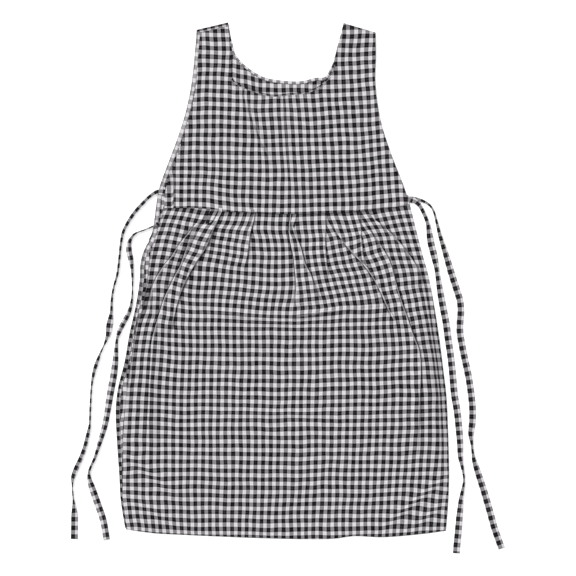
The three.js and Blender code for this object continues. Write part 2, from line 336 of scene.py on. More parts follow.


# Start, end, height and half width of each crease, then how sharply it was pressed (the strength of its
# painted highlight and shade), and its drag
CREASES = (
    Crease((-69, 320), (-18, 194), 1.5, 8, 0.5),
    Crease((-1, 318), (12, 176), 1.4, 8, 0.15),
    Crease((-152, 228), (-158, 172), 1.8, 8),
    Crease((-186, 180), (-187, 134), 1.8, 6, 0.4),
    Crease((-115, -55), (13, -72), 2.4, 9, 0.25, 0.8),
    Crease((18, -63), (132, -45), 2.8, 9, 0.7),
    Crease((-58, -20), (34, -28), 1.2, 8),
    Crease((-62, -224), (70, -229), 2.4, 9, drag=1.5),
    Crease((12, -252), (68, -250), 1.3, 8),
    Crease((280, -330), (168, -424), 2.6, 7, drag=-2.8),
    Crease((276, -376), (222, -422), 1.8, 7, drag=-2.0),
    Crease((-266, -296), (-180, -368), 2.4, 8, drag=2.0),
    Crease((-266, -372), (-178, -412), 1.8, 9, drag=1.5),
)


def crease_sum(measure: Callable[[Crease, Array, Array], Array], x: Array, y: Array) -> Array:
    """Add up one measure of all creases at points of the front."""
    return sum(measure(crease, x, y) for crease in CREASES)


@dataclass(frozen=True)
class Swelling:
    reach: float
    size: float  # width of one swelling
    layer: float  # which of many patterns it takes

    def at(self, x: Array, y: Array) -> Array:
        """Rise at points, from about -reach to reach."""
        spots = zip(x / self.size, y / self.size)
        return self.reach * np.array([noise.noise(Vector((*spot, self.layer))) for spot in spots])


BODICE_SWELLING = Swelling(0.45, 55.0, 0.3)
NECK_RIPPLE = Swelling(1.0, 9.0, 2.7)
SKIRT_SWELLINGS = (Swelling(0.5, 60.0, 5.1), Swelling(0.25, 21.0, 7.9))
# How the check wanders from its straight lines, where the yarn was pulled, across and along the cloth
WANDER = (
    (Swelling(1.5, 48.0, 11.3), Swelling(0.8, 17.0, 11.3)),
    (Swelling(1.5, 48.0, 17.7), Swelling(0.8, 17.0, 17.7)),
)


def wander(x: Array, y: Array) -> Array:
    """How far the check wanders at points, across and along the cloth."""
    return np.column_stack([sum(pull.at(x, y) for pull in pulls) for pulls in WANDER])


@dataclass
class Laid:
    """Where the points of a grid of cloth lie, and where they are on the cut cloth."""

    spots: Array
    flat: Array
    doubled: Array | None = None  # share of doubling, for a sheet that gets a thickness
    wear_and_shading: Array | None = None  # wear with painted light and shade, for a sheet whose finish shows them


Place = Callable[[Array, Array], Laid]


def add_object(name: str, data: bpy.types.ID) -> Piece:
    """Put a mesh, a camera or a lamp into the scene, at the origin.

    Args:
        name: Name of the object.
        data: The mesh, camera or lamp.

    Returns:
        The new object.
    """
    piece = bpy.data.objects.new(name, data)
    bpy.context.collection.objects.link(piece)
    return piece


def lay_cloth(name: str, columns: int, rows: int, place: Place, finish: Material) -> Piece:
    """Lay a sheet of cloth as a grid, with a thickness that is doubled in its hems.

    Args:
        name: Name of the piece.
        columns: Cells across.
        rows: Cells along.
        place: Gives the places of points from their shares across and along.
        finish: The cloth's material.

    Returns:
        The sheet's object, at the origin.
    """
    shape = bmesh.new()
    bmesh.ops.create_grid(shape, x_segments=columns, y_segments=rows, size=0.5)
    shape.verts.index_update()
    across = np.array([vert.co.x + 0.5 for vert in shape.verts])
    along = np.array([0.5 - vert.co.y for vert in shape.verts])
    laid = place(across, along)
    cloth_map = shape.loops.layers.uv.new(CLOTH_MAP)
    for vert in shape.verts:
        vert.co = Vector(laid.spots[vert.index]) * MM
    for face in shape.faces:
        face.smooth = True
        for loop in face.loops:
            loop[cloth_map].uv = laid.flat[loop.vert.index] * MM
    mesh = bpy.data.meshes.new(name)
    shape.to_mesh(mesh)
    shape.free()
    mesh.materials.append(finish)
    sheet = add_object(name, mesh)
    if laid.wear_and_shading is not None:
        light_and_wear = mesh.attributes.new(WEAR_AND_PAINTED_LIGHT, "FLOAT", "POINT")
        light_and_wear.data.foreach_set("value", laid.wear_and_shading.astype(np.float32))
    if laid.doubled is None:
        return sheet
    hem = sheet.vertex_groups.new(name="hem")
    for index, share in enumerate(laid.doubled):
        hem.add([index], float(share), "REPLACE")
    wall = sheet.modifiers.new("cloth thickness", "SOLIDIFY")
    wall.thickness = DOUBLED * MM
    wall.offset = 0.0
    wall.vertex_group = hem.name
    wall.thickness_vertex_group = SINGLE / DOUBLED
    return sheet


def dress(piece: Piece) -> None:
    """Let a piece move with the part, and log how many points it has.

    Args:
        piece: The piece.
    """
    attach(piece, BODY)
    log.info("%s: %d points", piece.name, len(piece.data.vertices))


def linear(colour: str) -> tuple[float, float, float, float]:
    """Turn an sRGB colour into a linear one, by the sRGB curve's own numbers.

    Args:
        colour: The colour as a hex value.

    Returns:
        Linear red, green and blue, and an alpha of 1.
    """
    parts = [int(colour[start:start + 2], 16) / 255.0 for start in (1, 3, 5)]
    red, green, blue = (p / 12.92 if p <= 0.04045 else ((p + 0.055) / 1.055) ** 2.4 for p in parts)
    return red, green, blue, 1.0


def set_inputs(node: Node, links: dict[str | int, object]) -> None:
    """Link an output, or set a value, for each input that is named.

    Args:
        node: The node.
        links: An output to link, or a value to set, for each input.
    """
    for key, value in links.items():
        if isinstance(value, Socket):
            node.id_data.links.new(value, node.inputs[key])
        else:
            node.inputs[key].default_value = value


def add_node(tree: NodeTree, kind: str, settings: dict[str, object],
             links: dict[str | int, object]) -> Node:
    """Add a node with its settings, and set or link its inputs.

    Args:
        tree: The material's nodes.
        kind: Type of the node.
        settings: Values of the node's own properties.
        links: An output to link, or a value to set, for each input.

    Returns:
        The new node.
    """
    node = tree.nodes.new(kind)
    for key, value in settings.items():
        setattr(node, key, value)
    set_inputs(node, links)
    return node


def calc(tree: NodeTree, operation: str, *values: object, clamp: bool = False) -> Socket:
    """Add one step of arithmetic on outputs or values, and give its output."""
    settings = {"operation": operation, "use_clamp": clamp}
    return add_node(tree, "ShaderNodeMath", settings, dict(enumerate(values))).outputs[0]


def ramp(tree: NodeTree, share: Socket, stops: tuple[tuple[float, str], ...]) -> Socket:
    """Add a colour ramp.

    Args:
        tree: The material's nodes.
        share: Output with the place on the ramp, from 0 to 1.
        stops: A place and a colour for each stop, in order.

    Returns:
        The ramp's colour.
    """
    node = add_node(tree, "ShaderNodeValToRGB", {}, {"Fac": share})
    elements = node.color_ramp.elements
    while len(elements) > 1:
        elements.remove(elements[-1])
    elements[0].position = stops[0][0]
    elements[0].color = linear(stops[0][1])
    for place, colour in stops[1:]:
        elements.new(place).color = linear(colour)
    return node.outputs["Color"]


def new_material(name: str) -> tuple[Material, Node]:
    """Start a material.

    Args:
        name: Name of the material.

    Returns:
        The material, and its shader.
    """
    material = bpy.data.materials.new(name)
    material.use_nodes = True
    return material, material.node_tree.nodes["Principled BSDF"]


# Dark share of the yarn from the middle of a dark band to the middle of a light one, each with a hairline of
# odd yarn in it: place, and share
BAND_PROFILE = ((0.0, 0.88), (0.09, 1.0), (0.505, 1.0), (0.565, 0.0), (0.9, 0.0), (1.0, 0.2))
SLUB_STRETCH = 0.04  # width of a slub, as a share of its length
MIX_FIRST, MIX_SECOND, MIX_RESULT = 6, 7, 2  # a mix node's colour inputs and its colour output


@dataclass(frozen=True)
class GinghamCotton:
    """Yarn-dyed plain-weave cotton, pressed once and worn soft.

    Bands of black yarn cross bands of white yarn in both directions, so the eye sees black where two dark
    bands cross, white where two light ones do, and grey between. The yarn is dull, with a faint sheen.
    """

    name: str = "gingham cotton, plain woven from dyed yarn"
    column: float = 13.1  # a dark and a light band of warp
    row: float = 14.75  # a dark and a light band of weft
    thread: float = 1.3  # real yarn is 0.3 mm thick; it is drawn coarser so that it shows
    white: str = "#E1DEE2"
    grey: str = "#878488"
    black: str = "#0B090E"
    roughness: float = 0.9
    gloss: float = 0.04
    sheen: float = 0.03
    sheen_roughness: float = 0.5
    slubs: float = 0.16  # how far slubs change the tone
    slub_yarns: float = 2.0  # width of a slub in yarns
    weave_strength: float = 0.35
    weave_depth: float = 0.15
    rub_and_highlight: float = 0.5  # how pale a pressed edge gets: rubbed wear and painted highlight
    painted_shade: float = 0.85  # how dark the painted shade in a recess gets

    def bands(self, tree: NodeTree, place: Socket, pitch: float) -> Socket:
        """Dark share of the yarn that runs one way.

        Args:
            tree: The material's nodes.
            place: Place on the cloth across the bands, in metres.
            pitch: Width of a dark and a light band, in millimetres.

        Returns:
            The dark share.
        """
        count = calc(tree, "MULTIPLY", place, 1.0 / (pitch * MM))
        share = calc(tree, "MULTIPLY", calc(tree, "PINGPONG", count, 0.5), 2.0)
        profile = add_node(tree, "ShaderNodeFloatCurve", {}, {"Value": share})
        curve = profile.mapping.curves[0]
        first, *inner, last = BAND_PROFILE
        for position, dark in inner:
            curve.points.new(position, dark)
        curve.points[0].location = first
        curve.points[-1].location = last
        for point in curve.points:
            point.handle_type = "VECTOR"
        profile.mapping.update()
        return profile.outputs[0]

    def build(self) -> Material:
        """Make the material from the cloth's own flat map.

        Returns:
            The material.
        """
        material, shader = new_material(self.name)
        tree = material.node_tree
        flat = add_node(tree, "ShaderNodeUVMap", {"uv_map": CLOTH_MAP}, {}).outputs[0]
        split = add_node(tree, "ShaderNodeSeparateXYZ", {}, {0: flat})
        across, along = split.outputs[0], split.outputs[1]
        warp = self.bands(tree, across, self.column)
        weft = self.bands(tree, along, self.row)

        # Slubs: yarn that is a little thicker or paler over a few centimetres of its length
        slubs = []
        for stretch in ((1.0, SLUB_STRETCH, 1.0), (SLUB_STRETCH, 1.0, 1.0)):
            turned = add_node(tree, "ShaderNodeMapping", {}, {"Vector": flat, "Scale": stretch})
            slub = add_node(tree, "ShaderNodeTexNoise", {}, {
                "Vector": turned.outputs[0],
                "Scale": 1.0 / (self.slub_yarns * self.thread * MM),
                "Detail": 2.0,
            })
            slubs.append(slub.outputs[0])
        uneven = calc(tree, "MULTIPLY_ADD", calc(tree, "ADD", *slubs), self.slubs, -self.slubs)
        dark = calc(tree, "MULTIPLY_ADD", calc(tree, "ADD", warp, weft), 0.5, uneven)
        tone = ramp(tree, dark, ((0.0, self.white), (0.5, self.grey), (1.0, self.black)))

        # Pressed edges and crease tops are mixed paler (rubbed wear and painted highlight), and painted shade
        # is mixed dark into recesses, below creases and along edges
        light_and_wear = add_node(tree, "ShaderNodeAttribute", {"attribute_name": WEAR_AND_PAINTED_LIGHT}, {}).outputs["Fac"]
        for amount, wear_and_shading in ((self.rub_and_highlight, self.white), (-self.painted_shade, self.black)):
            mixed = add_node(tree, "ShaderNodeMix", {"data_type": "RGBA"}, {
                "Factor": calc(tree, "MULTIPLY", light_and_wear, amount, clamp=True),
                MIX_FIRST: tone,
                MIX_SECOND: linear(wear_and_shading),
            })
            tone = mixed.outputs[MIX_RESULT]

        # Plain weave: warp and weft rise and dip in turn
        turns = [calc(tree, "MULTIPLY", place, math.pi / (self.thread * MM)) for place in (across, along)]
        weave = calc(tree, "MULTIPLY", *(calc(tree, "SINE", turn) for turn in turns))
        bump = add_node(tree, "ShaderNodeBump", {}, {
            "Strength": self.weave_strength, "Distance": self.weave_depth * MM, "Height": weave,
        })
        set_inputs(shader, {
            "Base Color": tone,
            "Normal": bump.outputs[0],
            "Roughness": self.roughness,
            "Specular IOR Level": self.gloss,
            "Sheen Weight": self.sheen,
            "Sheen Roughness": self.sheen_roughness,
        })
        return material


@dataclass(frozen=True)
class SewingThread:
    """Spun polyester sewing thread, dyed charcoal: dull, with the twist of its plies."""

    name: str = "polyester sewing thread, spun"
    dark: str = "#232026"
    light: str = "#4A464D"
    ply: float = 0.5
    twist_strength: float = 0.3
    twist_depth: float = 0.1
    roughness: float = 0.7
    gloss: float = 0.2

    def build(self) -> Material:
        """Make the material from Object coordinates.

        Returns:
            The material.
        """
        material, shader = new_material(self.name)
        tree = material.node_tree
        place = add_node(tree, "ShaderNodeTexCoord", {}, {})
        plies = add_node(tree, "ShaderNodeTexNoise", {}, {
            "Vector": place.outputs["Object"], "Scale": 1.0 / (self.ply * MM), "Detail": 1.0,
        })
        bump = add_node(tree, "ShaderNodeBump", {}, {
            "Strength": self.twist_strength, "Distance": self.twist_depth * MM, "Height": plies.outputs[0],
        })
        set_inputs(shader, {
            "Base Color": ramp(tree, plies.outputs[0], ((0.35, self.dark), (0.65, self.light))),
            "Normal": bump.outputs[0],
            "Roughness": self.roughness,
            "Specular IOR Level": self.gloss,
        })
        return material


@dataclass(frozen=True)
class StudioPaper:
    """Matt white paper on a light table: even, without gloss, lit from below so that shadows stay faint."""

    name: str = "background paper, matt white"
    white: str = "#FAFAFA"
    shade: str = "#F6F6F6"
    clouds: float = 2.0  # how many clouds of shade there are to a metre
    glow: float = 0.42

    def build(self) -> Material:
        """Make the material from Object coordinates.

        Returns:
            The material.
        """
        material, shader = new_material(self.name)
        tree = material.node_tree
        place = add_node(tree, "ShaderNodeTexCoord", {}, {})
        cloud = add_node(tree, "ShaderNodeTexNoise", {}, {
            "Vector": place.outputs["Object"], "Scale": self.clouds,
        })
        set_inputs(shader, {
            "Base Color": ramp(tree, cloud.outputs[0], ((0.3, self.white), (0.7, self.shade))),
            "Roughness": 1.0,
            "Specular IOR Level": 0.0,
            "Emission Color": WHITE_LIGHT,
            "Emission Strength": self.glow,
        })
        return material


@dataclass
class Stitching:
    """Rows of topstitches, each stitch a short rounded length of thread."""

    thread: Material
    length: float = 2.0
    gap: float = 0.8
    thick: float = 0.42
    sunk: float = 0.08
    lift: float = 0.45  # from the middle of hemmed cloth to the middle of its stitches

    def template(self) -> tuple[Array, list[list[int]]]:
        """Make one stitch that lies along X.

        Returns:
            Its points in millimetres, and its faces.
        """
        shape = bmesh.new()
        bmesh.ops.create_uvsphere(shape, u_segments=6, v_segments=4, radius=0.5)
        shape.verts.index_update()
        points = np.array([vert.co for vert in shape.verts])[:, (2, 1, 0)]
        faces = [[vert.index for vert in reversed(face.verts)] for face in shape.faces]
        shape.free()
        return points * (self.length, self.thick, self.thick), faces

    def sew(self, name: str, runs: list[Array]) -> Piece:
        """Sew rows of stitches and join them to one piece.

        Args:
            name: Name of the piece.
            runs: The rows, each with its points in order, in millimetres.

        Returns:
            The piece.
        """
        points, faces = self.template()
        spots = []
        cells = []
        for run in runs:
            length = run_lengths(run)
            pitch = self.length + self.gap
            middles = np.arange(pitch, length[-1] - pitch, pitch)
            ends = []
            for shift in (-0.5 * self.length, 0.5 * self.length):
                columns = [np.interp(middles + shift, length, column) for column in run.T]
                ends.append(np.column_stack(columns))
            for start, end in zip(*ends):
                heading = (end - start) / np.linalg.norm(end - start)
                side = np.cross(UP, heading)
                side /= np.linalg.norm(side)
                turn = np.stack((heading, side, np.cross(heading, side)))
                first = len(spots) * len(points)
                spots.append(points @ turn + (start + end) / 2.0)
                cells.extend([[index + first for index in face] for face in faces])
        mesh = bpy.data.meshes.new(name)
        mesh.from_pydata((np.concatenate(spots) * MM).tolist(), [], cells)
        mesh.polygons.foreach_set("use_smooth", [True] * len(mesh.polygons))
        mesh.materials.append(self.thread)
        piece = add_object(name, mesh)
        dress(piece)
        return piece


@dataclass
class StudioStage:
    """Camera straight above the apron, white paper under it and soft light all round. Sizes are in metres."""

    photo_width: float = 0.9792  # width of the floor that the picture shows
    middle: tuple[float, float] = (0.00935, -0.0123)  # place on the floor at the picture's middle
    height: float = 6.0
    sensor: float = 36.0
    paper_level: float = -0.0004
    paper_side: float = 8.0
    sky: float = 0.6
    lamp_power: float = 2.25
    lamp_spread: float = math.radians(20.0)
    lamp_place: tuple[float, float, float] = (-1.4, 1.6, 1.9)

    def build(self) -> None:
        """Set up the camera, the paper and the light."""
        scene = bpy.context.scene
        scene.view_settings.view_transform = "Standard"
        camera = bpy.data.cameras.new("camera")
        camera.sensor_width = self.sensor
        camera.lens = self.sensor * self.height / self.photo_width
        scene.camera = add_object("camera", camera)
        scene.camera.location = (*self.middle, self.height)

        sheet = bmesh.new()
        bmesh.ops.create_grid(sheet, x_segments=4, y_segments=4, size=self.paper_side / 2.0)
        bmesh.ops.translate(sheet, verts=sheet.verts, vec=(0.0, 0.0, self.paper_level))
        mesh = bpy.data.meshes.new("paper")
        sheet.to_mesh(mesh)
        sheet.free()
        mesh.materials.append(StudioPaper().build())
        paper = add_object("paper", mesh)

        world = bpy.data.worlds.new("studio")
        world.use_nodes = True
        set_inputs(world.node_tree.nodes["Background"], {"Color": WHITE_LIGHT, "Strength": self.sky})
        scene.world = world

        lamp = bpy.data.lights.new("window light", "SUN")
        lamp.angle = self.lamp_spread
        lamp.energy = self.lamp_power
        stand = add_object("window light", lamp)
        stand.location = self.lamp_place
        stand.rotation_euler = (-stand.location).to_track_quat("-Z", "Y").to_euler()


# Section of a tie from its left edge over the top: place across in half widths, and half thicknesses
TIE_SECTION = (
    (-1.0, 0.0), (-0.97, 0.6), (-0.85, 0.95), (-0.72, 0.72), (-0.4, 1.0), (0.0, 1.0), (0.4, 1.0),
    (0.72, 0.72), (0.85, 0.95), (0.97, 0.6), (1.0, 0.0), (0.97, -0.6), (0.85, -0.95), (0.4, -1.0),
    (0.0, -1.0), (-0.4, -1.0), (-0.85, -0.95), (-0.97, -0.6), (-1.0, 0.0),
)
TIE_TOP = TIE_SECTION.index((0.0, 1.0))


@dataclass
class Tie:
    """A flat tie of folded cloth, sewn on at one end and laid in loose curves.

    Each point of the route gives X, Y, how far its sides are rolled under as an angle, and its level.
    """

    node: str
    route: Points
    check: float
    width: float = 12.0
    thick: float = 1.2
    bulge: float = 1.7  # half thickness that the rolled sides add
    steps: int = 260
    stitch_inset: float = 1.6
    groove: float = 0.72  # height of the stitched grooves, in half thicknesses
    weld: float = 0.02  # points closer together than this become one
    fine_steps: int = 4000  # points along which its length is taken

    def rings(self, share: Array) -> tuple[Array, Array, Array]:
        """Place and section of the tie along its route.

        Args:
            share: Places from 0, the sewn end, to 1, the free end.

        Returns:
            Middles, the direction across the tie, and its half width and half thickness.
        """
        line = Edge(self.route)
        rows = line.at(share)
        across = np.column_stack((rightwards(line.at, share), np.zeros(len(share))))
        rolled = np.radians(rows[:, 2])
        sizes = np.column_stack((
            self.width / 2.0 * np.cos(rolled),
            self.thick / 2.0 + self.bulge * np.abs(np.sin(rolled)),
        ))
        middles = np.column_stack((rows[:, :2], np.maximum(rows[:, 3], 0.0) + sizes[:, 1]))
        return middles, across, sizes

    def shares(self) -> Array:
        """Find places for the tie's rings, even along its length.

        Returns:
            The places, as shares of the route.
        """
        line = Edge(self.route)
        fine = np.linspace(0.0, 1.0, self.fine_steps)
        length = run_lengths(line.at(fine)[:, :2])
        return np.interp(np.linspace(0.0, length[-1], self.steps + 1), length, fine)

    def build(self, cloth: Material, stitching: Stitching) -> None:
        """Make the tie with its stitches, in place of its plain solid.

        Args:
            cloth: The gingham.
            stitching: Sews the two rows of stitches.
        """
        middles, across, sizes = self.rings(self.shares())
        length = run_lengths(middles)
        section = np.array(TIE_SECTION)
        cells = len(section) - 1
        girth = np.linalg.norm(np.diff(section[None] * sizes[:, None], axis=1), axis=2)
        round_it = np.pad(np.cumsum(girth, axis=1), ((0, 0), (1, 0)))
        shown = sizes[:, :1] / sizes[:, 0].max()
        flat_across = round_it - round_it[:, TIE_TOP:TIE_TOP + 1] + self.check * shown

        def place(around: Array, along: Array) -> Laid:
            """Wrap the grid round the tie's section.

            Args:
                around: Shares of the way round the section.
                along: Shares of the tie's length.

            Returns:
                The laid points.
            """
            ring = np.rint(along * self.steps).astype(int)
            corner = np.rint(around * cells).astype(int)
            wide, high = (section[corner] * sizes[ring]).T
            spots = middles[ring] + across[ring] * wide[:, None] + np.outer(high, UP)
            return Laid(spots, np.column_stack((flat_across[ring, corner], length[ring])))

        tie = lay_cloth(f"{self.node}_cloth", cells, self.steps, place, cloth)
        shape = bmesh.new()
        shape.from_mesh(tie.data)
        bmesh.ops.remove_doubles(shape, verts=shape.verts, dist=self.weld * MM)
        open_edges = [edge for edge in shape.edges if edge.is_boundary]
        bmesh.ops.holes_fill(shape, edges=open_edges, sides=0)
        bmesh.ops.recalc_face_normals(shape, faces=shape.faces)
        shape.to_mesh(tie.data)
        shape.free()
        reach = sizes[:, :1] * (1.0 - 2.0 * self.stitch_inset / self.width)
        lift = np.outer(self.groove * sizes[:, 1] - stitching.sunk, UP)
        runs = [middles + across * side * reach + lift for side in (-1.0, 1.0)]
        stitches = stitching.sew(f"{self.node}_stitches", runs)
        dress(tie)
        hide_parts(self.node)
        log.info("%s is %.0f mm long", self.node, length[-1])


FRONT_REST = 1.5  # level of the back's upper side, where the front ties leave the seam
TIES = (
    Tie("tie_front_left", (
        (-199.8, 149.5, 20, FRONT_REST), (-213, 151, 55, 0.8), (-226, 143, 64, 0), (-237, 132, 62, 0),
        (-248, 120, 60, 0), (-257, 108, 60, 0), (-266, 93, 64, 0), (-271.5, 80, 66, 0), (-275, 60, 70, 0),
        (-277, 40, 70, 0), (-280.5, 12, 70, 0), (-287, -12, 73, 0), (-290, -32, 70, 0), (-291, -55, 62, 0),
        (-294, -76, 20, 0), (-296.5, -92, 50, 0), (-303, -109, 77, 0), (-309.5, -123, 74, 0),
        (-316, -141, 58, 0), (-321, -158, 64, 0), (-324.5, -180, 75, 0), (-326.5, -215, 74, 0),
        (-327.5, -243, 73, 0), (-330, -258, 60, 0), (-336, -283, 54, 0), (-343, -302, 52, 0),
        (-351, -320, 46, 0), (-356, -334, 55, 0), (-357, -346, 78, 0), (-356.5, -360, 79, 0),
        (-355, -375, 72, 0), (-354, -390, 45, 0), (-353.5, -406, 5, 0), (-354, -439, 0, 0),
    ), -2.2),
    Tie("tie_back_left", (
        (-211, 98, 50, 0.9), (-217, 94, 72, 0.9), (-223.5, 91, 78, 0.4), (-230, 88.3, 80, 0),
        (-237, 85.5, 80, 0), (-247, 82, 77, 0), (-254.5, 76.5, 70, 0), (-260, 66, 55, 0), (-261, 51, 35, 0),
        (-258, 37, 42, 0),
        (-256, 22, 62, 0), (-255, 6, 72, 0), (-255, -12, 79, 0), (-255.5, -28, 74, 0), (-258, -44, 62, 0),
        (-262.5, -57, 50, 0), (-269.5, -70, 44, 0), (-277, -85, 48, 0), (-281, -98, 68, 0),
        (-282.5, -112, 60, 0), (-284, -135, 35, 0), (-286.5, -157, 15, 0), (-290, -177, 0, 0),
        (-293.5, -196, 10, 0), (-297.5, -222, 30, 0), (-301, -242, 35, 0), (-305, -257, 42, 0),
        (-310, -273, 50, 0), (-314.5, -287, 60, 0), (-319, -301, 66, 0), (-325, -314, 70, 0),
        (-329, -326, 68, 0), (-328, -338, 50, 0), (-324, -351, 25, 0), (-318.5, -367, 15, 0),
        (-312.5, -384, 15, 0), (-306.5, -401, 15, 0), (-302.5, -418, 20, 0), (-299, -440, 20, 0),
    ), 3.3),
    Tie("tie_front_right", (
        (217.7, 138, 15, FRONT_REST), (226, 135, 45, FRONT_REST), (234, 126.5, 56, 1.0), (239, 117, 58, 0.3),
        (243.5, 107, 58, 0), (247.3, 95, 55, 0), (249.5, 80, 35, 0), (252.5, 63, 5, 0), (257, 45, 15, 0),
        (261.5, 23, 46, 0), (264.5, 3, 46, 0), (268.5, -22, 25, 0), (273, -46, 5, 0), (278, -72, 0, 0),
        (281.5, -99, 0, 0), (286, -130, 0, 0), (289, -159, 0, 0), (292, -193, 5, 0), (296.5, -220, 0, 0),
        (299.5, -247, 0, 0), (301.5, -275, 30, 0), (302, -297, 44, 0), (304.5, -312, 60, 0),
        (307.5, -328, 72, 0), (308.5, -340, 73, 0), (306.5, -354, 64, 0), (303.5, -370, 52, 0),
        (302, -386, 38, 0), (300.5, -402, 22, 0), (298.5, -428, 5, 0), (296.3, -450, 0, 0),
        (295.5, -463, 0, 0),
    ), -2.2),
    Tie("tie_back_right", (
        (209.8, 140, 10, 0), (221, 139.5, 50, 0), (231, 138, 62, 0), (242, 134, 68, 0), (251, 127.5, 72, 0),
        (257, 117.5, 74, 0), (260, 107, 72, 0), (263.5, 93, 66, 0), (267, 79, 58, 0), (271.5, 64, 50, 0),
        (279.5, 38, 30, 0), (287.5, 11, 5, 0), (295.5, -14, 0, 0), (301, -32, 10, 0), (303, -50, 10, 0),
        (301.5, -72, 10, 0), (301.5, -88, 5, 0), (304.5, -107, 0, 0), (309.5, -132, 0, 0),
        (315.5, -160, 0, 0), (320, -189, 0, 0), (322.5, -214, 5, 0), (322.5, -239, 10, 0),
        (320, -260, 40, 0), (321.5, -276, 66, 0), (323, -290, 70, 0), (325, -303, 55, 0),
        (329.5, -318, 35, 0), (335, -335, 20, 0), (341.5, -355, 10, 0), (347.5, -375, 0, 0),
        (354, -398, 0, 0), (360, -420, 0, 0), (367, -440, 0, 0), (372.5, -455, 0, 0),
    ), -1.5),
)


class Facing(Enum):
    """The way that the edge of a fold looks, or the side of an edge that its cloth is on."""

    LEFT = -1
    RIGHT = 1


class Grain(Enum):
    """The yarn that runs along a strip."""

    WARP = 0
    WEFT = 1


BUMP_LAYER = 4.4  # patterns of a strip's bumps, and of the sway of its check
SWAY_LAYER = 6.1
LENGTH_STEPS = 400  # points of an edge that a strip's length is taken from


@dataclass
class Binding:
    """A narrow strip of cloth, cut along the check and sewn over an edge."""

    name: str
    edge: Edge
    span: tuple[float, float]  # shares of the edge between which it lies
    cloth_side: Facing  # on the way along the edge
    grain: Grain
    start: float
    outer: float
    under: Callable[[Array, Array], Array]  # height of the cloth under it
    width: float = 6.0
    rise: float = 0.7
    squareness: int = 6  # how square its section is
    lift: float = 0.5
    bumps: float = 0.25
    bump_size: float = 6.0
    overhang: float = 0.4
    shade: float = 0.55  # how dark the painted shade along its edges is
    shade_run: float = 0.8
    drift: float = 0.0  # how far the check moves across the strip on the way along
    drift_span: tuple[float, float] = (0.3, 0.65)  # shares of the strip between which it does so
    sway: float = 0.0  # how far the check sways across the strip
    sway_size: float = 26.0
    pale: float = 0.0  # how much paler it is drawn before its check drifts
    first_width: float = 1.0  # share of the width at its first end
    widening: float = 0.5  # share of the strip over which it gets its full width
    sewn: float = 0.86  # share of the width where its stitches run
    columns: int = 220
    rows: int = 10

    def place(self, across: Array, along: Array) -> Laid:
        """Lay the strip's points.

        Args:
            across: Shares of the strip's length.
            along: Shares of its width, from its outer edge.

        Returns:
            The laid points.
        """
        share = self.span[0] + (self.span[1] - self.span[0]) * across
        inwards = rightwards(self.edge.evenly, share) * self.cloth_side.value
        shown = self.first_width + (1.0 - self.first_width) * ease(across / self.widening)
        out = along * self.width * shown - self.overhang
        x, y = (self.edge.evenly(share) + inwards * out[:, None]).T
        crown = np.sqrt(np.maximum(0.0, 1.0 - (2.0 * along - 1.0) ** self.squareness))
        bumps = Swelling(self.bumps, self.bump_size, BUMP_LAYER)
        z = self.under(x, y) + self.lift + self.rise * crown + bumps.at(x, y)
        length = run_lengths(self.edge.evenly(np.linspace(0.0, 1.0, LENGTH_STEPS)))[-1]
        first, last = self.drift_span
        drifted = ease((across - first) / (last - first))
        moved = self.drift * drifted + Swelling(self.sway, self.sway_size, SWAY_LAYER).at(x, y)
        flat = [share * length + self.start, out + self.outer + moved]
        if self.grain is Grain.WARP:
            flat.reverse()
        inset = np.minimum(along, 1.0 - along) * self.width
        # Paler before the check drifts, and painted shade along both edges
        wear_and_shading = self.pale * (1.0 - drifted) - self.shade * bell(inset, self.shade_run)
        return Laid(np.column_stack((x, y, z)), np.column_stack(flat), np.zeros(len(z)), wear_and_shading)

    def build(self, cloth: Material, stitching: Stitching, slot: str) -> list[Piece]:
        """Make the strip and sew it down.

        Args:
            cloth: The gingham.
            stitching: Sews the strip down.
            slot: Not used.

        Returns:
            The strip and its stitches.
        """
        strip = lay_cloth(self.name, self.columns, self.rows, self.place, cloth)
        dress(strip)
        across = np.linspace(0.0, 1.0, 2 * self.columns)
        row = self.place(across, np.full(len(across), self.sewn)).spots + UP * SINGLE / 2.0
        return [strip, stitching.sew(f"{self.name}_stitches", [row])]


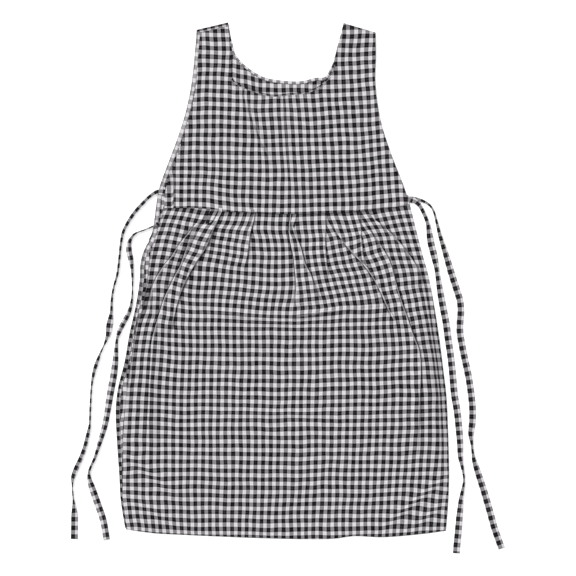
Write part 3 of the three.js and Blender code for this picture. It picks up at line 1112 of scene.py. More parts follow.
@dataclass(frozen=True)
class Band:
    """A panel laid as a band of cells that runs round a neckline, from one shoulder to the other.

    The first and last columns end on the left and right edges, and those between on the bottom edge.
    """

    neck: Edge
    left: Edge
    bottom: Edge
    right: Edge
    side_cells: int
    bottom_cells: int
    inner_rows: int
    neck_side: float  # share of the neckline that runs down each strap

    @property
    def columns(self) -> int:
        """Cells from shoulder to shoulder."""
        return 2 * self.side_cells + self.bottom_cells

    @property
    def rows(self) -> int:
        """Cells from the neckline out."""
        return self.inner_rows + 2 * (len(HEM_STEPS) - 1)

    def rim(self, across: Array) -> tuple[Array, Array]:
        """Points of the neckline and of the outer edge.

        Args:
            across: Shares of the way from the left shoulder to the right.

        Returns:
            The points of the neckline, and those of the outer edge.
        """
        turn = self.side_cells / self.columns
        left = np.clip(across / turn, 0.0, 1.0)
        right = np.clip((1.0 - across) / turn, 0.0, 1.0)
        middle = np.clip((across - turn) / (1.0 - 2.0 * turn), 0.0, 1.0)
        share = self.neck_side * (left + 1.0 - right) + (1.0 - 2.0 * self.neck_side) * middle
        outer = self.bottom.evenly(middle)
        on_left = across < turn
        on_right = across > 1.0 - turn
        outer[on_left] = self.left.evenly(left[on_left])
        outer[on_right] = self.right.evenly(right[on_right])
        return self.neck.evenly(share), outer

    def spots(self, across: Array, along: Array) -> Array:
        """Flat places of the grid's points, with lines on the steps of the hems.

        Args:
            across: Shares of the way from the left shoulder to the right.
            along: Shares of the rows from the neckline out.

        Returns:
            X and Y of each point.
        """
        inner, outer = self.rim(across)
        width = np.linalg.norm(outer - inner, axis=1)
        hem_rows = len(HEM_STEPS) - 1
        row = along * self.rows
        steps = np.arange(len(HEM_STEPS))
        head = np.interp(row, steps, HEM_STEPS) / width
        tail = 1.0 - np.interp(self.rows - row, steps, HEM_STEPS) / width
        share = np.clip((row - hem_rows) / self.inner_rows, 0.0, 1.0)
        middle = (HEM_STEPS[-1] * (1.0 - 2.0 * share)) / width + share
        place = np.where(row <= hem_rows, head, np.where(row >= self.rows - hem_rows, tail, middle))
        return inner + (outer - inner) * place[:, None]


# How the bodice's warp columns lie: height, shift of the left part, cloth in the tuck under the left strap
# and its place, cloth in the tuck at the middle and its place
BODICE_COLUMNS = (
    (418, -4.5, 8.0, -62, 10.7, 4),
    (392, -5.5, 9.0, -62, 12.2, 4),
    (367, -4.8, 9.0, -62, 12.0, 4),
    (341, -3.8, 8.5, -63, 11.0, 3),
    (316, -2.2, 8.0, -66, 8.5, 1),
    (290, -2.0, 8.2, -58, 5.6, 2),
    (239, -1.6, 4.6, -40, 5.3, 4),
    (188, -1.0, 0.3, -28, 6.3, 10),
    (137, 0.2, 0.0, -28, 2.4, 14),
)
BODICE_RATE = 0.99  # cloth for each length laid
TUCK_WIDTH = 34.0  # a tuck takes up half of its cloth over this width
TUCK_LINE = 9.0  # and the other half over this one, at its middle
FIRST_BODICE_ROW = 127.75  # height of a row of black checks at the middle
# How far the weft rows rise to the sides: place, then the rise, on the left at the waist and at the chest
BODICE_RIGHT_RISE = (
    (20, 0), (47, 0.5), (72, 1.5), (98, 2.5), (123, 3.5), (149, 5.5), (174, 8.3), (200, 10.4),
)
BODICE_LEFT_RISE = (
    (-183, 10.3, 1.5),
    (-157, 10.0, 1.8),
    (-132, 8.2, 2.9),
    (-106, 4.6, 2.2),
    (-81, 2.4, 0.8),
    (-50, 0.6, 0),
    (0, 0, 0),
)
LEFT_CHEST = (128.0, 100.0)  # height from which the left rise turns into the chest's, and the run of that
RIGHT_CHEST = 264.0  # height from which the rows on the right climb
RIGHT_CLIMB = 0.023  # how far they do for each length above it
RIGHT_RUN = 80.0  # run from the middle to the right over which they come to do so
STRAP = (340.0, 80.0)  # height from which the right strap's rows lie otherwise, and the run of that
STRAP_LEVEL = 0.9  # share of the right rise that is lost on the strap
STRAP_LIFT = 3.3  # how far its rows rise instead


@dataclass
class FrontBodice:
    """Front of the bodice: cut round at the neck, hemmed at the armholes, sewn to the skirt at the waist."""

    band: Band = Band(NECKLINE, ARMHOLE_LEFT, WAIST_SEAM, ARMHOLE_RIGHT,
                      side_cells=100, bottom_cells=200, inner_rows=80, neck_side=0.28)
    stitch_spots: int = 300
    flat_size: tuple[float, float] = (416.5, 324.5)
    flat_area: float = 0.0875
    seam_steps: tuple[float, ...] = (0.0, 0.6, 1.5, 3.0, 7.0, 14.0)
    seam_rise: tuple[float, ...] = (0.1, 0.5, 0.8, 0.9, 0.6, 0.0)
    shoulder: Edge = Edge(((104, 438), (131, 430), (158, 422)))
    shoulder_drop: float = 1.3  # how far the fold of the right shoulder drops
    shoulder_shade: float = 0.45  # how dark the painted shade along it is
    shoulder_run: float = 3.0
    ripple_run: float = 6.0  # the neckline's ripples fade over this run
    rolled: tuple[float, float] = (0.24, 0.80)  # shares of the neckline between which its edge is rolled
    corner_fold: float = -184.5
    corner_run: float = 2.5
    # How far it is shifted there, across and along the cloth: top, run below that, and shift
    corner_shifts: Points = ((186.0, 14.0, -4.6), (161.5, 11.0, 7.6))

    def flat(self, x: Array, y: Array) -> Array:
        """Find places on the cut cloth, past the two soft tucks and with the rows that rise to both sides.

        Args:
            x: X of the points.
            y: Y of the points.

        Returns:
            Place across and along the cloth of each point.
        """
        height, *table = np.array(BODICE_COLUMNS).T[:, ::-1]
        shift, *tucks = (np.interp(y, height, row) for row in table)
        column = BODICE_RATE * x + shift
        for tuck, middle in (tucks[:2], tucks[2:]):
            for width in (TUCK_WIDTH, TUCK_LINE):
                column += tuck / 2.0 * past(x, middle - width / 2.0, width)
        place, right_rise = np.array(BODICE_RIGHT_RISE).T
        strap = past(y, *STRAP)
        rise = np.interp(x, place, right_rise) * (1.0 - STRAP_LEVEL * strap)
        climb = RIGHT_CLIMB * np.maximum(y - RIGHT_CHEST, 0.0)
        rise += (climb + STRAP_LIFT * strap) * ease(x / RIGHT_RUN)
        place, low_rise, high_rise = np.array(BODICE_LEFT_RISE).T
        chest = past(y, *LEFT_CHEST)
        rise += (1.0 - chest) * np.interp(x, place, low_rise) + chest * np.interp(x, place, high_rise)
        aside = past(x, self.corner_fold, -self.corner_run)
        corner = [moved * aside * past(y, top, -run) for top, run, moved in self.corner_shifts]
        flat = np.column_stack((column, y - FIRST_BODICE_ROW - rise))
        return flat + np.column_stack(corner) + wander(x, y)

    def relief(self, x: Array, y: Array) -> tuple[Array, Array]:
        """Find the relief of the laid cloth.

        Args:
            x: X of the points.
            y: Y of the points.

        Returns:
            Height of the cloth over its level at each point, and how far it is doubled there.
        """
        neck = away(NECKLINE, x, y)
        arms = np.minimum(away(ARMHOLE_LEFT, x, y), away(ARMHOLE_RIGHT, x, y))
        waist = away(WAIST_SEAM, x, y)
        fold = away(self.shoulder, x, y)
        height = crease_sum(Crease.height_at, x, y) + BODICE_SWELLING.at(x, y)
        height += hem_rise(np.minimum(neck, arms)) + NECK_RIPPLE.at(x, y) * np.exp(-neck / self.ripple_run)
        height += np.interp(waist, self.seam_steps, self.seam_rise)
        height -= self.shoulder_drop * (1.0 - ease(fold / self.shoulder_run))
        return height, hem_layers(np.minimum(neck, arms))

    def level(self, x: Array, y: Array) -> Array:
        """Height of the cloth."""
        return FRONT_LEVEL + self.relief(x, y)[0]

    def place(self, across: Array, along: Array) -> Laid:
        """Lay the grid's points.

        Args:
            across: Shares of the way from the left shoulder to the right.
            along: Shares of the rows from the neckline out.

        Returns:
            The laid points.
        """
        x, y = self.band.spots(across, along).T
        height, doubled = self.relief(x, y)
        # Painted highlight and shade along the creases, and painted shade along the right shoulder's fold
        wear_and_shading = crease_sum(Crease.painted_light_at, x, y)
        wear_and_shading -= self.shoulder_shade * bell(away(self.shoulder, x, y), self.shoulder_run)
        return Laid(np.column_stack((x, y, FRONT_LEVEL + height)), self.flat(x, y), doubled, wear_and_shading)

    def build(self, cloth: Material, stitching: Stitching) -> None:
        """Make the bodice in place of its plain solid.

        Args:
            cloth: The gingham.
            stitching: Sews the topstitches.
        """
        bodice = lay_cloth("bodice_cloth", self.band.columns, self.band.rows, self.place, cloth)
        side = self.band.side_cells / self.band.columns
        neck_line = HEM_LINE / self.band.rows
        runs = []
        for first, last, line in (
            (0.0, 1.0, neck_line),
            (0.0, side, 1.0 - neck_line),
            (1.0 - side, 1.0, 1.0 - neck_line),
        ):
            across = np.linspace(first, last, self.stitch_spots)
            runs.append(self.place(across, np.full(len(across), line)).spots + UP * stitching.lift)
        roll = Binding("neck_roll", NECKLINE, self.rolled, Facing.RIGHT, Grain.WEFT, 0.0, 2.2, self.level,
                       width=3.2, rise=0.5, lift=0.35, bumps=0.3, shade=0.3)
        added = roll.build(cloth, stitching, "gingham_bodice")
        added.append(stitching.sew("bodice_stitches", runs))
        dress(bodice)
        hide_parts("front_bodice")


@dataclass(frozen=True)
class Pleat:
    """A fold of the skirt that runs down from the waist and opens on its way.

    Each point of the line gives X and Y of the fold's edge, and the width of cloth folded away there.
    """

    line: Points
    faces: Facing
    sharp: float = 1.0  # how sharply it was pressed, which sets how strongly its pale edge line and the painted shade beside it show


PLEATS = (
    Pleat((
        (-133.5, 124, 0), (-147, 100, 1), (-157, 85, 7), (-166.5, 73, 8.5), (-178.5, 57, 9.5),
        (-189.5, 40, 11.5), (-200.5, 27, 12), (-211, 11, 12.5), (-218.5, -4, 12), (-222.5, -16, 9),
        (-224.5, -29, 5), (-227, -46, 1.5), (-229.5, -60, 0),
    ), Facing.LEFT),
    Pleat((
        (-123, 124, 0), (-135, 102, 0), (-147, 83, 1.5), (-156.5, 68, 4), (-162.5, 56, 5.5),
        (-168.5, 40, 8.5), (-174, 25, 10), (-183, 8, 11), (-191, -9, 12), (-200.5, -29, 12),
        (-207.5, -51, 12.5), (-213.5, -70, 12), (-218.5, -87, 8.5), (-222, -104, 5.5), (-225, -130, 3),
        (-229.5, -211, 2.3), (-231, -296, 0),
    ), Facing.LEFT),
    Pleat((
        (-102, 120, 42), (-110.5, 102, 38.5), (-117.5, 86, 35.5), (-124, 69, 31), (-132.5, 52, 27.5),
        (-141, 40, 24.5), (-149, 28, 21.5), (-156.5, 15, 17), (-164, 0, 14.5), (-171.5, -17, 13),
        (-177.5, -34, 10), (-182, -51, 6), (-184.5, -67, 3), (-186, -87, 0),
    ), Facing.RIGHT, 0.75),
    Pleat((
        (-47.5, 117, 27), (-48.5, 105, 24), (-51, 95, 21), (-54.5, 83, 15), (-56.5, 69, 10), (-57.5, 54, 5),
        (-58, 40, 2.3), (-58.5, 22, 0),
    ), Facing.RIGHT, 0.7),
    Pleat((
        (13.5, 115, 25.5), (12, 100, 23), (11, 85, 19.5), (13, 69, 16), (16, 54, 15), (19, 40, 14),
        (20.5, 25, 13.5), (22, 10, 12.5), (23, -4, 11), (23, -19, 8.5), (20.5, -33, 4), (17, -46, 0),
    ), Facing.LEFT),
    Pleat((
        (23, 115, 0), (23, 100, 0), (23.5, 86, 0.5), (25.5, 76, 1.5), (28.5, 64, 4), (32.5, 51, 7.5),
        (36.5, 35, 7.5), (41.5, 23, 6), (48.5, 10, 4.2), (55, -6, 3), (63, -21, 1.5), (69, -34, 0),
    ), Facing.RIGHT, 1.5),
    Pleat((
        (75, 117, 25), (74, 100, 20.5), (73, 86, 13.5), (72.5, 71, 8.8), (73, 54, 4.8), (75, 39, 3.5),
        (78, 23, 2), (82.5, 6, 0),
    ), Facing.RIGHT, 0.3),
    Pleat((
        (80, 117, 0), (80, 100, 0), (86.5, 88, 2), (97, 74, 4), (107, 61, 5.8), (118, 48, 8),
        (128.5, 37, 9.2), (137, 28, 10), (145.5, 17, 10.5), (153, 6, 11), (160.5, -7, 10.5),
        (167.5, -21, 11), (174, -36, 9), (180, -50, 6.5), (185.5, -63, 2.5), (189.5, -79, 0),
    ), Facing.LEFT),
    Pleat((
        (127.5, 122, 26), (132, 110, 22), (133.5, 98, 17), (133.5, 86, 12), (133.5, 74, 8), (135, 61, 5),
        (138, 45, 3), (145.5, 30, 0), (160.5, 15, 0), (171, 0, 0), (179.5, -17, 0), (187.5, -36, 0),
        (195.5, -56, 0), (205.5, -79, 0),
    ), Facing.RIGHT, 0.15),
    Pleat((
        (137.5, 119, 0), (139.5, 105, 0), (146, 91, 1), (154.5, 79, 2.5), (163, 66, 4), (171.5, 52, 6.5),
        (180, 37, 9.3), (186, 22, 10.3), (191, 3, 11), (196.5, -16, 12), (201.5, -33, 13),
        (207.5, -50, 13.3), (213.5, -67, 13), (219.5, -85, 12.5), (226, -101, 12.5), (231, -114, 11),
        (234, -131, 8), (235, -152, 5), (235, -206, 2.2), (234.5, -291, 0),
    ), Facing.RIGHT),
    Pleat((
        (146, 122, 0), (155.5, 107, 2), (177.5, 87, 5), (198, 66, 6), (215, 44, 6), (228.5, 23, 5.5),
        (236.5, 8, 3), (242, -7, 0),
    ), Facing.RIGHT),
)

# X and Y of the warp column at the middle of the skirt
MIDDLE_COLUMN = Edge((
    (-2, 113), (-3.5, 96), (-4, 83), (-1.5, 68), (1, 40), (1, 8), (0, -19), (-4, -46), (-5.5, -70),
    (-6, -148), (-7, -204), (-8, -305), (-10, -393), (-10.5, -437),
))

# Cloth across the skirt on the way down: depth, cloth from the middle column to the left and right edges,
# cloth for each length laid on both sides, what the gathers near the middle column add to that, and the
# cloth in the soft fold along the right edge
WIDTHS = (
    (0, 270, 297, 1.04, 1.012, 0.02, 0),
    (44, 270, 296, 1.04, 1.012, 0.07, 0),
    (78, 270, 295, 1.04, 1.012, 0.05, 0),
    (112, 268, 296, 1.03, 1.012, 0.01, 2),
    (146, 266, 297.5, 1.02, 1.0, -0.02, 4),
    (180, 266, 300, 1.03, 1.0, 0.0, 7),
    (214, 268, 301, 1.025, 1.01, 0.0, 11),
    (265, 269, 301, 1.03, 1.012, 0.0, 13),
    (316, 270, 301, 1.035, 1.008, 0.0, 11.5),
    (367, 272, 301, 1.03, 1.01, 0.0, 9),
    (418, 273, 301, 1.035, 1.02, 0.0, 6),
    (469, 273.5, 301.5, 1.04, 1.03, 0.0, 0.5),
    (506, 274, 302, 1.045, 1.04, 0.0, 0),
)

# Cloth that small creases and the sag of the rows have taken up on the way down: depth under the seam's
# middle, then the length at the middle, half-way out and at the sides
SLACK = (
    (0, 0.5, 2.5, 11.5),
    (17, 0, 2.5, 13.4),
    (120, 0, 9.5, 20),
    (175, 4.5, 12.6, 20),
    (197, 13, 14, 20),
    (313, 13.1, 16, 20.5),
    (352, 19.4, 20, 23.2),
    (423, 22.1, 23.5, 25),
    (522, 25.9, 27.4, 34),
)


@dataclass(frozen=True)
class Tilt:
    """How the rows of the check lie askew on the cloth between two folds.

    Each row gives a depth, the slope there, and the share of the width where the check keeps its height.
    """

    stretch: int
    rows: Points


TILTS = (
    Tilt(2, ((10, 0, 0), (25, 0.12, 0), (45, 0.17, 0.1), (80, 0.17, 0.5), (95, 0.17, 0.5), (130, 0.08, 0.5),
             (170, 0, 0.5))),
    Tilt(3, ((5, 0, 0.5), (25, 0.06, 0.5), (45, 0.11, 0.5), (60, 0.11, 0.6), (80, 0.1, 1), (95, 0.07, 1),
             (120, 0, 1))),
    Tilt(4, ((50, 0, 0), (75, -0.03, 0), (120, -0.03, 0), (150, 0, 0))),
    Tilt(7, ((20, 0, 0.4), (35, -0.12, 0.4), (50, -0.2, 0.4), (68, -0.2, 0.35), (90, -0.12, 0.2),
             (115, -0.08, 0), (140, -0.08, 0), (165, 0, 0))),
    Tilt(8, ((25, 0, 0.5), (45, -0.12, 0.5), (65, -0.17, 0.6), (85, -0.15, 0.8), (105, -0.12, 1),
             (140, -0.05, 1), (170, 0, 1))),
    Tilt(9, ((20, 0, 0.5), (35, -0.1, 0.5), (55, -0.15, 0.5), (75, -0.15, 0.3), (95, -0.12, 0),
             (115, -0.1, 0), (150, 0, 0))),
    Tilt(10, ((10, 0, 0.5), (25, 0.07, 0.5), (60, 0.06, 0.5), (85, 0.02, 0.5), (115, -0.04, 1),
              (150, -0.1, 1), (190, -0.12, 1), (220, -0.06, 1), (250, 0, 1))),
    Tilt(11, ((0, -0.04, 0.5), (20, -0.1, 0.5), (35, -0.1, 0.5), (55, 0, 0.5))),
)


@dataclass
class LaidFold:
    """A fold across one row of the skirt: its edge, how sharply it closes, its cloth, X, height, and its pale
    edge line of rubbed wear and painted highlight.

    It ends with the rise of the cloth before and after it.
    """

    edge: float
    closed: float
    cloth: Array
    x: Array
    z: Array
    wear_and_shading: Array
    before: float
    after: float


@dataclass
class FrontSkirt:
    """Front of the skirt: a straight piece of cloth, pleated into the waist and hemmed on three sides."""

    cut_width: float = 567.0
    cut_length: float = 580.0
    laid_length: float = 553.0
    seam_middle: float = 113.5
    first_row: float = 17.0  # depth of a row of black checks at the middle
    gather_half: float = 60.0  # half width of the gathers near the middle column
    rest_power: float = 2.4  # how close to the sides the cloth that is left over lies
    half_way: tuple[float, float] = (0.6, 0.42)  # how far out half-way is for the slack, left and right
    side_way: float = 0.95  # how far out the sides are for it
    seam_depths: tuple[float, ...] = (-5.0, -0.5, 0.6, 2.0, 4.0, 7.0)  # depths of the rows at the seam
    hidden_rows: int = 2  # the first rows lie under the bodice, where no stitches run
    pleat_depths: tuple[float, float, float] = (10.0, 200.0, 3.2)  # rows of the pleats: first, end, distance
    plain_depths: tuple[float, float] = (204.0, 4.9)  # rows below them: first, distance
    hem_margin: float = 9.0  # height of the hem, which has rows of its own
    turn_cells: int = 5
    back_cells: int = 6
    flat_cells: int = 8
    fine_steps: int = 240  # steps along which a fold's section is worked out
    beside_share: float = 0.45  # share of a stretch that the columns beside a fold's edge may take up
    end_gap: float = 0.1  # least distance of those columns from the other end of the stretch
    column_gap: float = 0.01  # least distance between two of them
    turn: float = 3.4  # length of cloth in each of a fold's two turns
    turned: float = math.radians(174.0)  # how far the first turn bends the cloth back
    open_cloth: float = 7.0  # a fold of less cloth than this opens
    ramp: float = 28.0  # run over which the cloth rises to a fold
    pressed: float = 0.2  # share of a fold's height that is left at the seam
    press_run: float = 30.0
    pale_line_at: float = 0.3  # share of a fold's first turn where its pale line of rubbed wear and painted highlight runs
    pale_line_half: float = 1.1  # half width of that line
    recess: tuple[float, ...] = (-0.5, 0.6, 1.6, 3.0, 5.0)  # columns of the cloth beside a fold's edge
    recess_half: float = 1.7  # half width of the painted shade line there
    recess_out: float = 0.9  # the middle of that line is this far outside the edge
    seam_shade: float = 0.6  # how dark the painted shadow is where the cloth goes under the bodice
    seam_run: float = 2.4
    # How dark the painted shade along the left edge is, where it lies against the back's: depth, and shade
    edge_shade: Points = ((0.0, 0.5), (150.0, 1.0), (290.0, 1.0), (330.0, 0.3))
    edge_drop: float = 0.8
    edge_run: float = 12.0
    soft_from: float = 16.5  # the soft fold along the right edge begins this far inside
    soft_run: float = 11.5
    soft_rise: float = 0.09  # its height for each length of cloth in it
    soft_shade: float = 0.028  # how dark its painted shade is, for each length of cloth in it
    hem_roll: float = 2.4  # length of cloth that the edge of the hem rolls under
    hem_roll_run: float = 6.0

    def __post_init__(self) -> None:
        """Work out each fold's depth, X and cloth along its line."""
        self.lines: list[tuple[Array, Array, Array]] = []
        for pleat in PLEATS:
            x, y, cloth = Edge(pleat.line).fine().T
            self.lines.append((self.depth_of(x, y), x, np.maximum(cloth, 0.0)))
        self.tilts: dict[int, Array] = {tilt.stretch: np.array(tilt.rows, float).T for tilt in TILTS}

    def depths(self) -> Array:
        """Find the depths of the rows under the waist seam, on the steps of the hem at the end.

        Returns:
            The depths, from the seam down.
        """
        first, distance = self.plain_depths
        plain = np.arange(first, self.laid_length - self.hem_margin, distance)
        hem = self.laid_length - np.array(HEM_STEPS[::-1])
        return np.concatenate((self.seam_depths, np.arange(*self.pleat_depths), plain, hem))

    def ends(self, share: Array) -> tuple[Array, Array]:
        """Y of the waist seam and of the hem at shares of the width."""
        return WAIST_SEAM.y_across(share), HEM.y_across(share)

    def depth_of(self, x: Array, y: Array) -> Array:
        """Find how deep points of the front lie under the waist seam.

        Args:
            x: X of the points.
            y: Y of the points.

        Returns:
            The depth of each point.
        """
        left = SKIRT_LEFT.x_at(y)
        top, bottom = self.ends((x - left) / (SKIRT_RIGHT.x_at(y) - left))
        return self.laid_length * (top - y) / (top - bottom)

    def sides(self, depth: float) -> tuple[float, float]:
        """X of the left and right edge at a depth."""
        share = min(max(depth / self.laid_length, 0.0), 1.0)
        return SKIRT_LEFT.x_down(share), SKIRT_RIGHT.x_down(share)

    def section(self, cloth: float) -> tuple[Array, Array, Array]:
        """Section of a fold that lets the cloth down to the right.

        Args:
            cloth: Width that is folded away.

        Returns:
            Length of cloth, X and height at the fold's cells, from its upper end.
        """
        whole = max(cloth, self.open_cloth) / 2.0 + self.turn
        angle = self.turned * math.sqrt(min(1.0, cloth / self.open_cloth))
        fine = np.linspace(0.0, whole, self.fine_steps + 1)
        bent = -angle * ease(fine / self.turn) * ease((whole - fine) / self.turn)
        x, z = (np.pad(np.cumsum((part[1:] + part[:-1]) / 2.0) * fine[1], (1, 0))
                for part in (np.cos(bent), np.sin(bent)))
        stations = np.concatenate((
            np.linspace(0.0, self.turn, self.turn_cells + 1)[:-1],
            np.linspace(self.turn, whole - self.turn, self.back_cells + 1),
            np.linspace(whole - self.turn, whole, self.turn_cells + 1)[1:],
        ))
        return stations, np.interp(stations, fine, x), np.interp(stations, fine, z)

    def lay_fold(self, number: int, depth: float) -> LaidFold:
        """Lay one fold across a row. Past its end it is flat and keeps its share of the width.

        Args:
            number: Which fold it is, from the left.
            depth: Depth of the row under the waist seam.

        Returns:
            The laid fold.
        """
        depths, places, cloths = self.lines[number]
        edge = float(np.interp(depth, depths, places))
        if depth > depths[-1]:
            left, right = self.sides(float(depths[-1]))
            share = (places[-1] - left) / (right - left)
            left, right = self.sides(depth)
            edge = left + share * (right - left)
        hidden = float(np.interp(depth, depths, cloths))
        cloth, x, z = self.section(hidden)
        closed = PLEATS[number].sharp * min(1.0, hidden / self.open_cloth) ** 2
        # Pale line along the pressed edge: rubbed wear and painted highlight
        wear_and_shading = closed * bell(cloth - self.pale_line_at * self.turn, self.pale_line_half)
        z = z * (self.pressed + (1.0 - self.pressed) * float(ease(np.array(depth / self.press_run))))
        drop = -float(z[-1])
        if PLEATS[number].faces is Facing.RIGHT:
            return LaidFold(edge, closed, cloth, x - x.max() + edge, z + drop, wear_and_shading, drop, 0.0)
        cloth = cloth[-1] - cloth[::-1]
        x = x.max() - x[::-1] + edge
        return LaidFold(edge, closed, cloth, x, z[::-1] + drop, wear_and_shading[::-1], 0.0, drop)

    def over(self, folds: list[LaidFold], number: int) -> tuple[LaidFold | None, LaidFold | None]:
        """Find the folds that lie over the ends of a flat stretch.

        Args:
            folds: The row's folds.
            number: Which stretch it is, from the left.

        Returns:
            The fold over its start and the fold over its end, where there is one.
        """
        first = last = None
        if number > 0 and PLEATS[number - 1].faces is Facing.RIGHT:
            first = folds[number - 1]
        if number < len(PLEATS) and PLEATS[number].faces is Facing.LEFT:
            last = folds[number]
        return first, last

    def steps(self, folds: list[LaidFold], number: int, start: float, length: float) -> Array:
        """Places of the columns along a flat stretch.

        Args:
            folds: The row's folds.
            number: Which stretch it is, from the left.
            start: X of its start.
            length: Its length.

        Returns:
            The places, on the hem's steps at the sides of the skirt and closer beside the edge of a fold.
        """
        first, last = self.over(folds, number)
        recess = np.array(self.recess)
        order = self.column_gap * np.arange(1, len(recess) + 1)
        reach = self.beside_share * length
        head = np.array(HEM_STEPS) if number == 0 else np.zeros(1)
        tail = length - np.array(HEM_STEPS[::-1]) if number == len(PLEATS) else np.full(1, length)
        if first:
            near = np.clip(first.edge - start + recess, 0.0, min(reach, tail[0] - self.end_gap))
            head = np.concatenate((head, near + order))
        if last:
            least = max(length - reach, head[-1] + self.end_gap)
            near = np.clip(last.edge - start - recess[::-1], least, length)
            tail = np.concatenate((near - order[::-1], tail))
        return np.concatenate((head, np.linspace(head[-1], tail[0], self.flat_cells + 1)[1:-1], tail))

    def shade_and_wear_along(self, folds: list[LaidFold], number: int, x: Array) -> Array:
        """Find the painted shade beside a fold along a flat stretch, and the pale line of a pressed edge at
        its ends.

        Args:
            folds: The row's folds.
            number: Which stretch it is, from the left.
            x: X of its columns.

        Returns:
            The wear and painted shade at each column.
        """
        wear_and_shading = np.zeros(len(x))
        if number > 0:
            wear_and_shading[0] = folds[number - 1].wear_and_shading[-1]
        if number < len(folds):
            wear_and_shading[-1] = folds[number].wear_and_shading[0]
        # Painted shade in the recess beside each fold's edge
        for fold, outside in zip(self.over(folds, number), (self.recess_out, -self.recess_out)):
            if fold:
                wear_and_shading -= fold.closed * bell(x - fold.edge - outside, self.recess_half)
        return wear_and_shading

    def skew(self, number: int, depth: float, step: Array) -> Array:
        """Args:
            number: Which stretch it is, from the left.
            depth: Depth of the row under the waist seam.
            step: Places of its columns, from its start.

        Returns:
            The shift at each column.
        """
        if number not in self.tilts:
            return np.zeros(len(step))
        depths, slopes, shares = self.tilts[number]
        return np.interp(depth, depths, slopes) * (step - np.interp(depth, depths, shares) * step[-1])

    def row(self, depth: float) -> tuple[Array, Array, Array, Array, Array]:
        """Lay one row of the skirt across its folds.

        Args:
            depth: Depth under the waist seam.

        Returns:
            X, height, place across the cut cloth, shift along it, and wear with painted light and shade at
            each column.
        """
        left, right = self.sides(depth)
        at_depth = [float(np.interp(depth, [row[0] for row in WIDTHS], column)) for column in zip(*WIDTHS)]
        cut_left, cut_right, left_rate, right_rate, gather, soft_fold = at_depth[1:]
        middle = float(MIDDLE_COLUMN.x_at(self.seam_middle - depth))
        folds = [self.lay_fold(number, max(depth, 0.0)) for number in range(len(PLEATS))]
        starts = [left] + [float(fold.x[-1]) for fold in folds]
        ends = [float(fold.x[0]) for fold in folds] + [right]
        lengths = [end - start for start, end in zip(starts, ends)]
        steps = [self.steps(folds, *stretch) for stretch in zip(range(len(starts)), starts, lengths)]
        skews = [self.skew(number, depth, step) for number, step in enumerate(steps)]
        parts = []
        used = 0.0
        for number, (start, length, step) in enumerate(zip(starts, lengths, steps)):
            run = min(self.ramp, length)
            rise_in = folds[number - 1].after if number > 0 else 0.0
            rise_out = folds[number].before if number < len(folds) else 0.0
            x = start + step
            z = rise_in * (1.0 - ease(step / run)) + rise_out * ease((step - length + run) / run)
            rate = np.where(x < middle, left_rate, right_rate) + gather * bell(x - middle, self.gather_half)
            cloth = used + np.concatenate(([0.0], np.cumsum(rate[1:] * np.diff(step))))
            if start < middle <= start + length:
                at_middle = float(np.interp(middle, x, cloth))
            parts.append((x, z, cloth, skews[number], self.shade_and_wear_along(folds, number, x)))
            used = cloth[-1]
            if number < len(folds):
                fold = folds[number]
                skew = np.linspace(skews[number][-1], skews[number + 1][0], len(fold.x))
                columns = (fold.x, fold.z, used + fold.cloth, skew, fold.wear_and_shading)
                parts.append(tuple(column[1:-1] for column in columns))
                used += fold.cloth[-1]
        x, z, cloth, skew, wear_and_shading = (np.concatenate(column) for column in zip(*parts))
        soft_start = right - self.soft_from
        cloth += soft_fold * past(x, soft_start, self.soft_run) - at_middle
        soft = soft_fold * bell(x - soft_start - self.soft_run / 2.0, self.soft_run)
        z += self.soft_rise * soft
        edge_shade = np.interp(depth, *zip(*self.edge_shade))
        # Painted shade on the soft fold and along the left edge
        wear_and_shading -= self.soft_shade * soft + edge_shade * bell(x - left, self.recess_half)
        outwards = np.where(x < middle, (middle - x) / (middle - left), (x - middle) / (right - middle))
        rest = np.where(x < middle, -cut_left - cloth[0], cut_right - cloth[-1])
        return x, z, cloth + rest * outwards ** self.rest_power, skew, wear_and_shading

    def slack(self, below: Array, share: Array) -> Array:
        """Length of cloth taken up on the way down.

        Args:
            below: Depth under the seam's middle.
            share: Share of the width, from the left.

        Returns:
            The length at each point.
        """
        depth, *lengths = np.array(SLACK).T
        middle, half, side = (np.interp(below, depth, column) for column in lengths)
        out = np.abs(2.0 * share - 1.0)
        half_way = np.where(share < 0.5, *self.half_way)
        outer = past(out, half_way, self.side_way - half_way)
        return middle + (half - middle) * ease(out / half_way) + (side - half) * outer

    def lay(self) -> tuple[Array, Array, Array, Array]:
        """Lay the whole skirt.

        Returns:
            Places, places on the cut cloth, doubling, and wear with painted light and shade, each by row and
            column.
        """
        spots, flats, layers, light_and_wear = [], [], [], []
        for depth in self.depths():
            x, z, across, skew, wear_and_shading = self.row(float(depth))
            left, right = self.sides(float(depth))
            share = (x - left) / (right - left)
            top, bottom = self.ends(share)
            y = top + (bottom - top) * depth / self.laid_length
            inset = np.minimum(np.minimum(x - left, right - x), self.laid_length - depth)
            z += FRONT_LEVEL + crease_sum(Crease.height_at, x, y) + hem_rise(np.maximum(inset, 0.0))
            z += sum(swelling.at(x, y) for swelling in SKIRT_SWELLINGS)
            z -= self.edge_drop * (1.0 - ease(inset / self.edge_run))
            below = self.seam_middle - y
            rolled = self.hem_roll * bell(self.laid_length - depth, self.hem_roll_run)
            down = below + self.slack(below, share) + rolled
            dragged = crease_sum(Crease.drag_at, x, y)
            spots.append(np.column_stack((x, y, z)))
            flats.append(np.column_stack((across, self.first_row - down + skew + dragged)) + wander(x, y))
            layers.append(hem_layers(inset))
            # Painted highlight and shade of the creases, and painted shadow under the bodice's edge
            wear_and_shading += crease_sum(Crease.painted_light_at, x, y) - self.seam_shade * bell(depth, self.seam_run)
            light_and_wear.append(np.clip(wear_and_shading, -1.0, 1.0))
        return np.stack(spots), np.stack(flats), np.stack(layers), np.stack(light_and_wear)

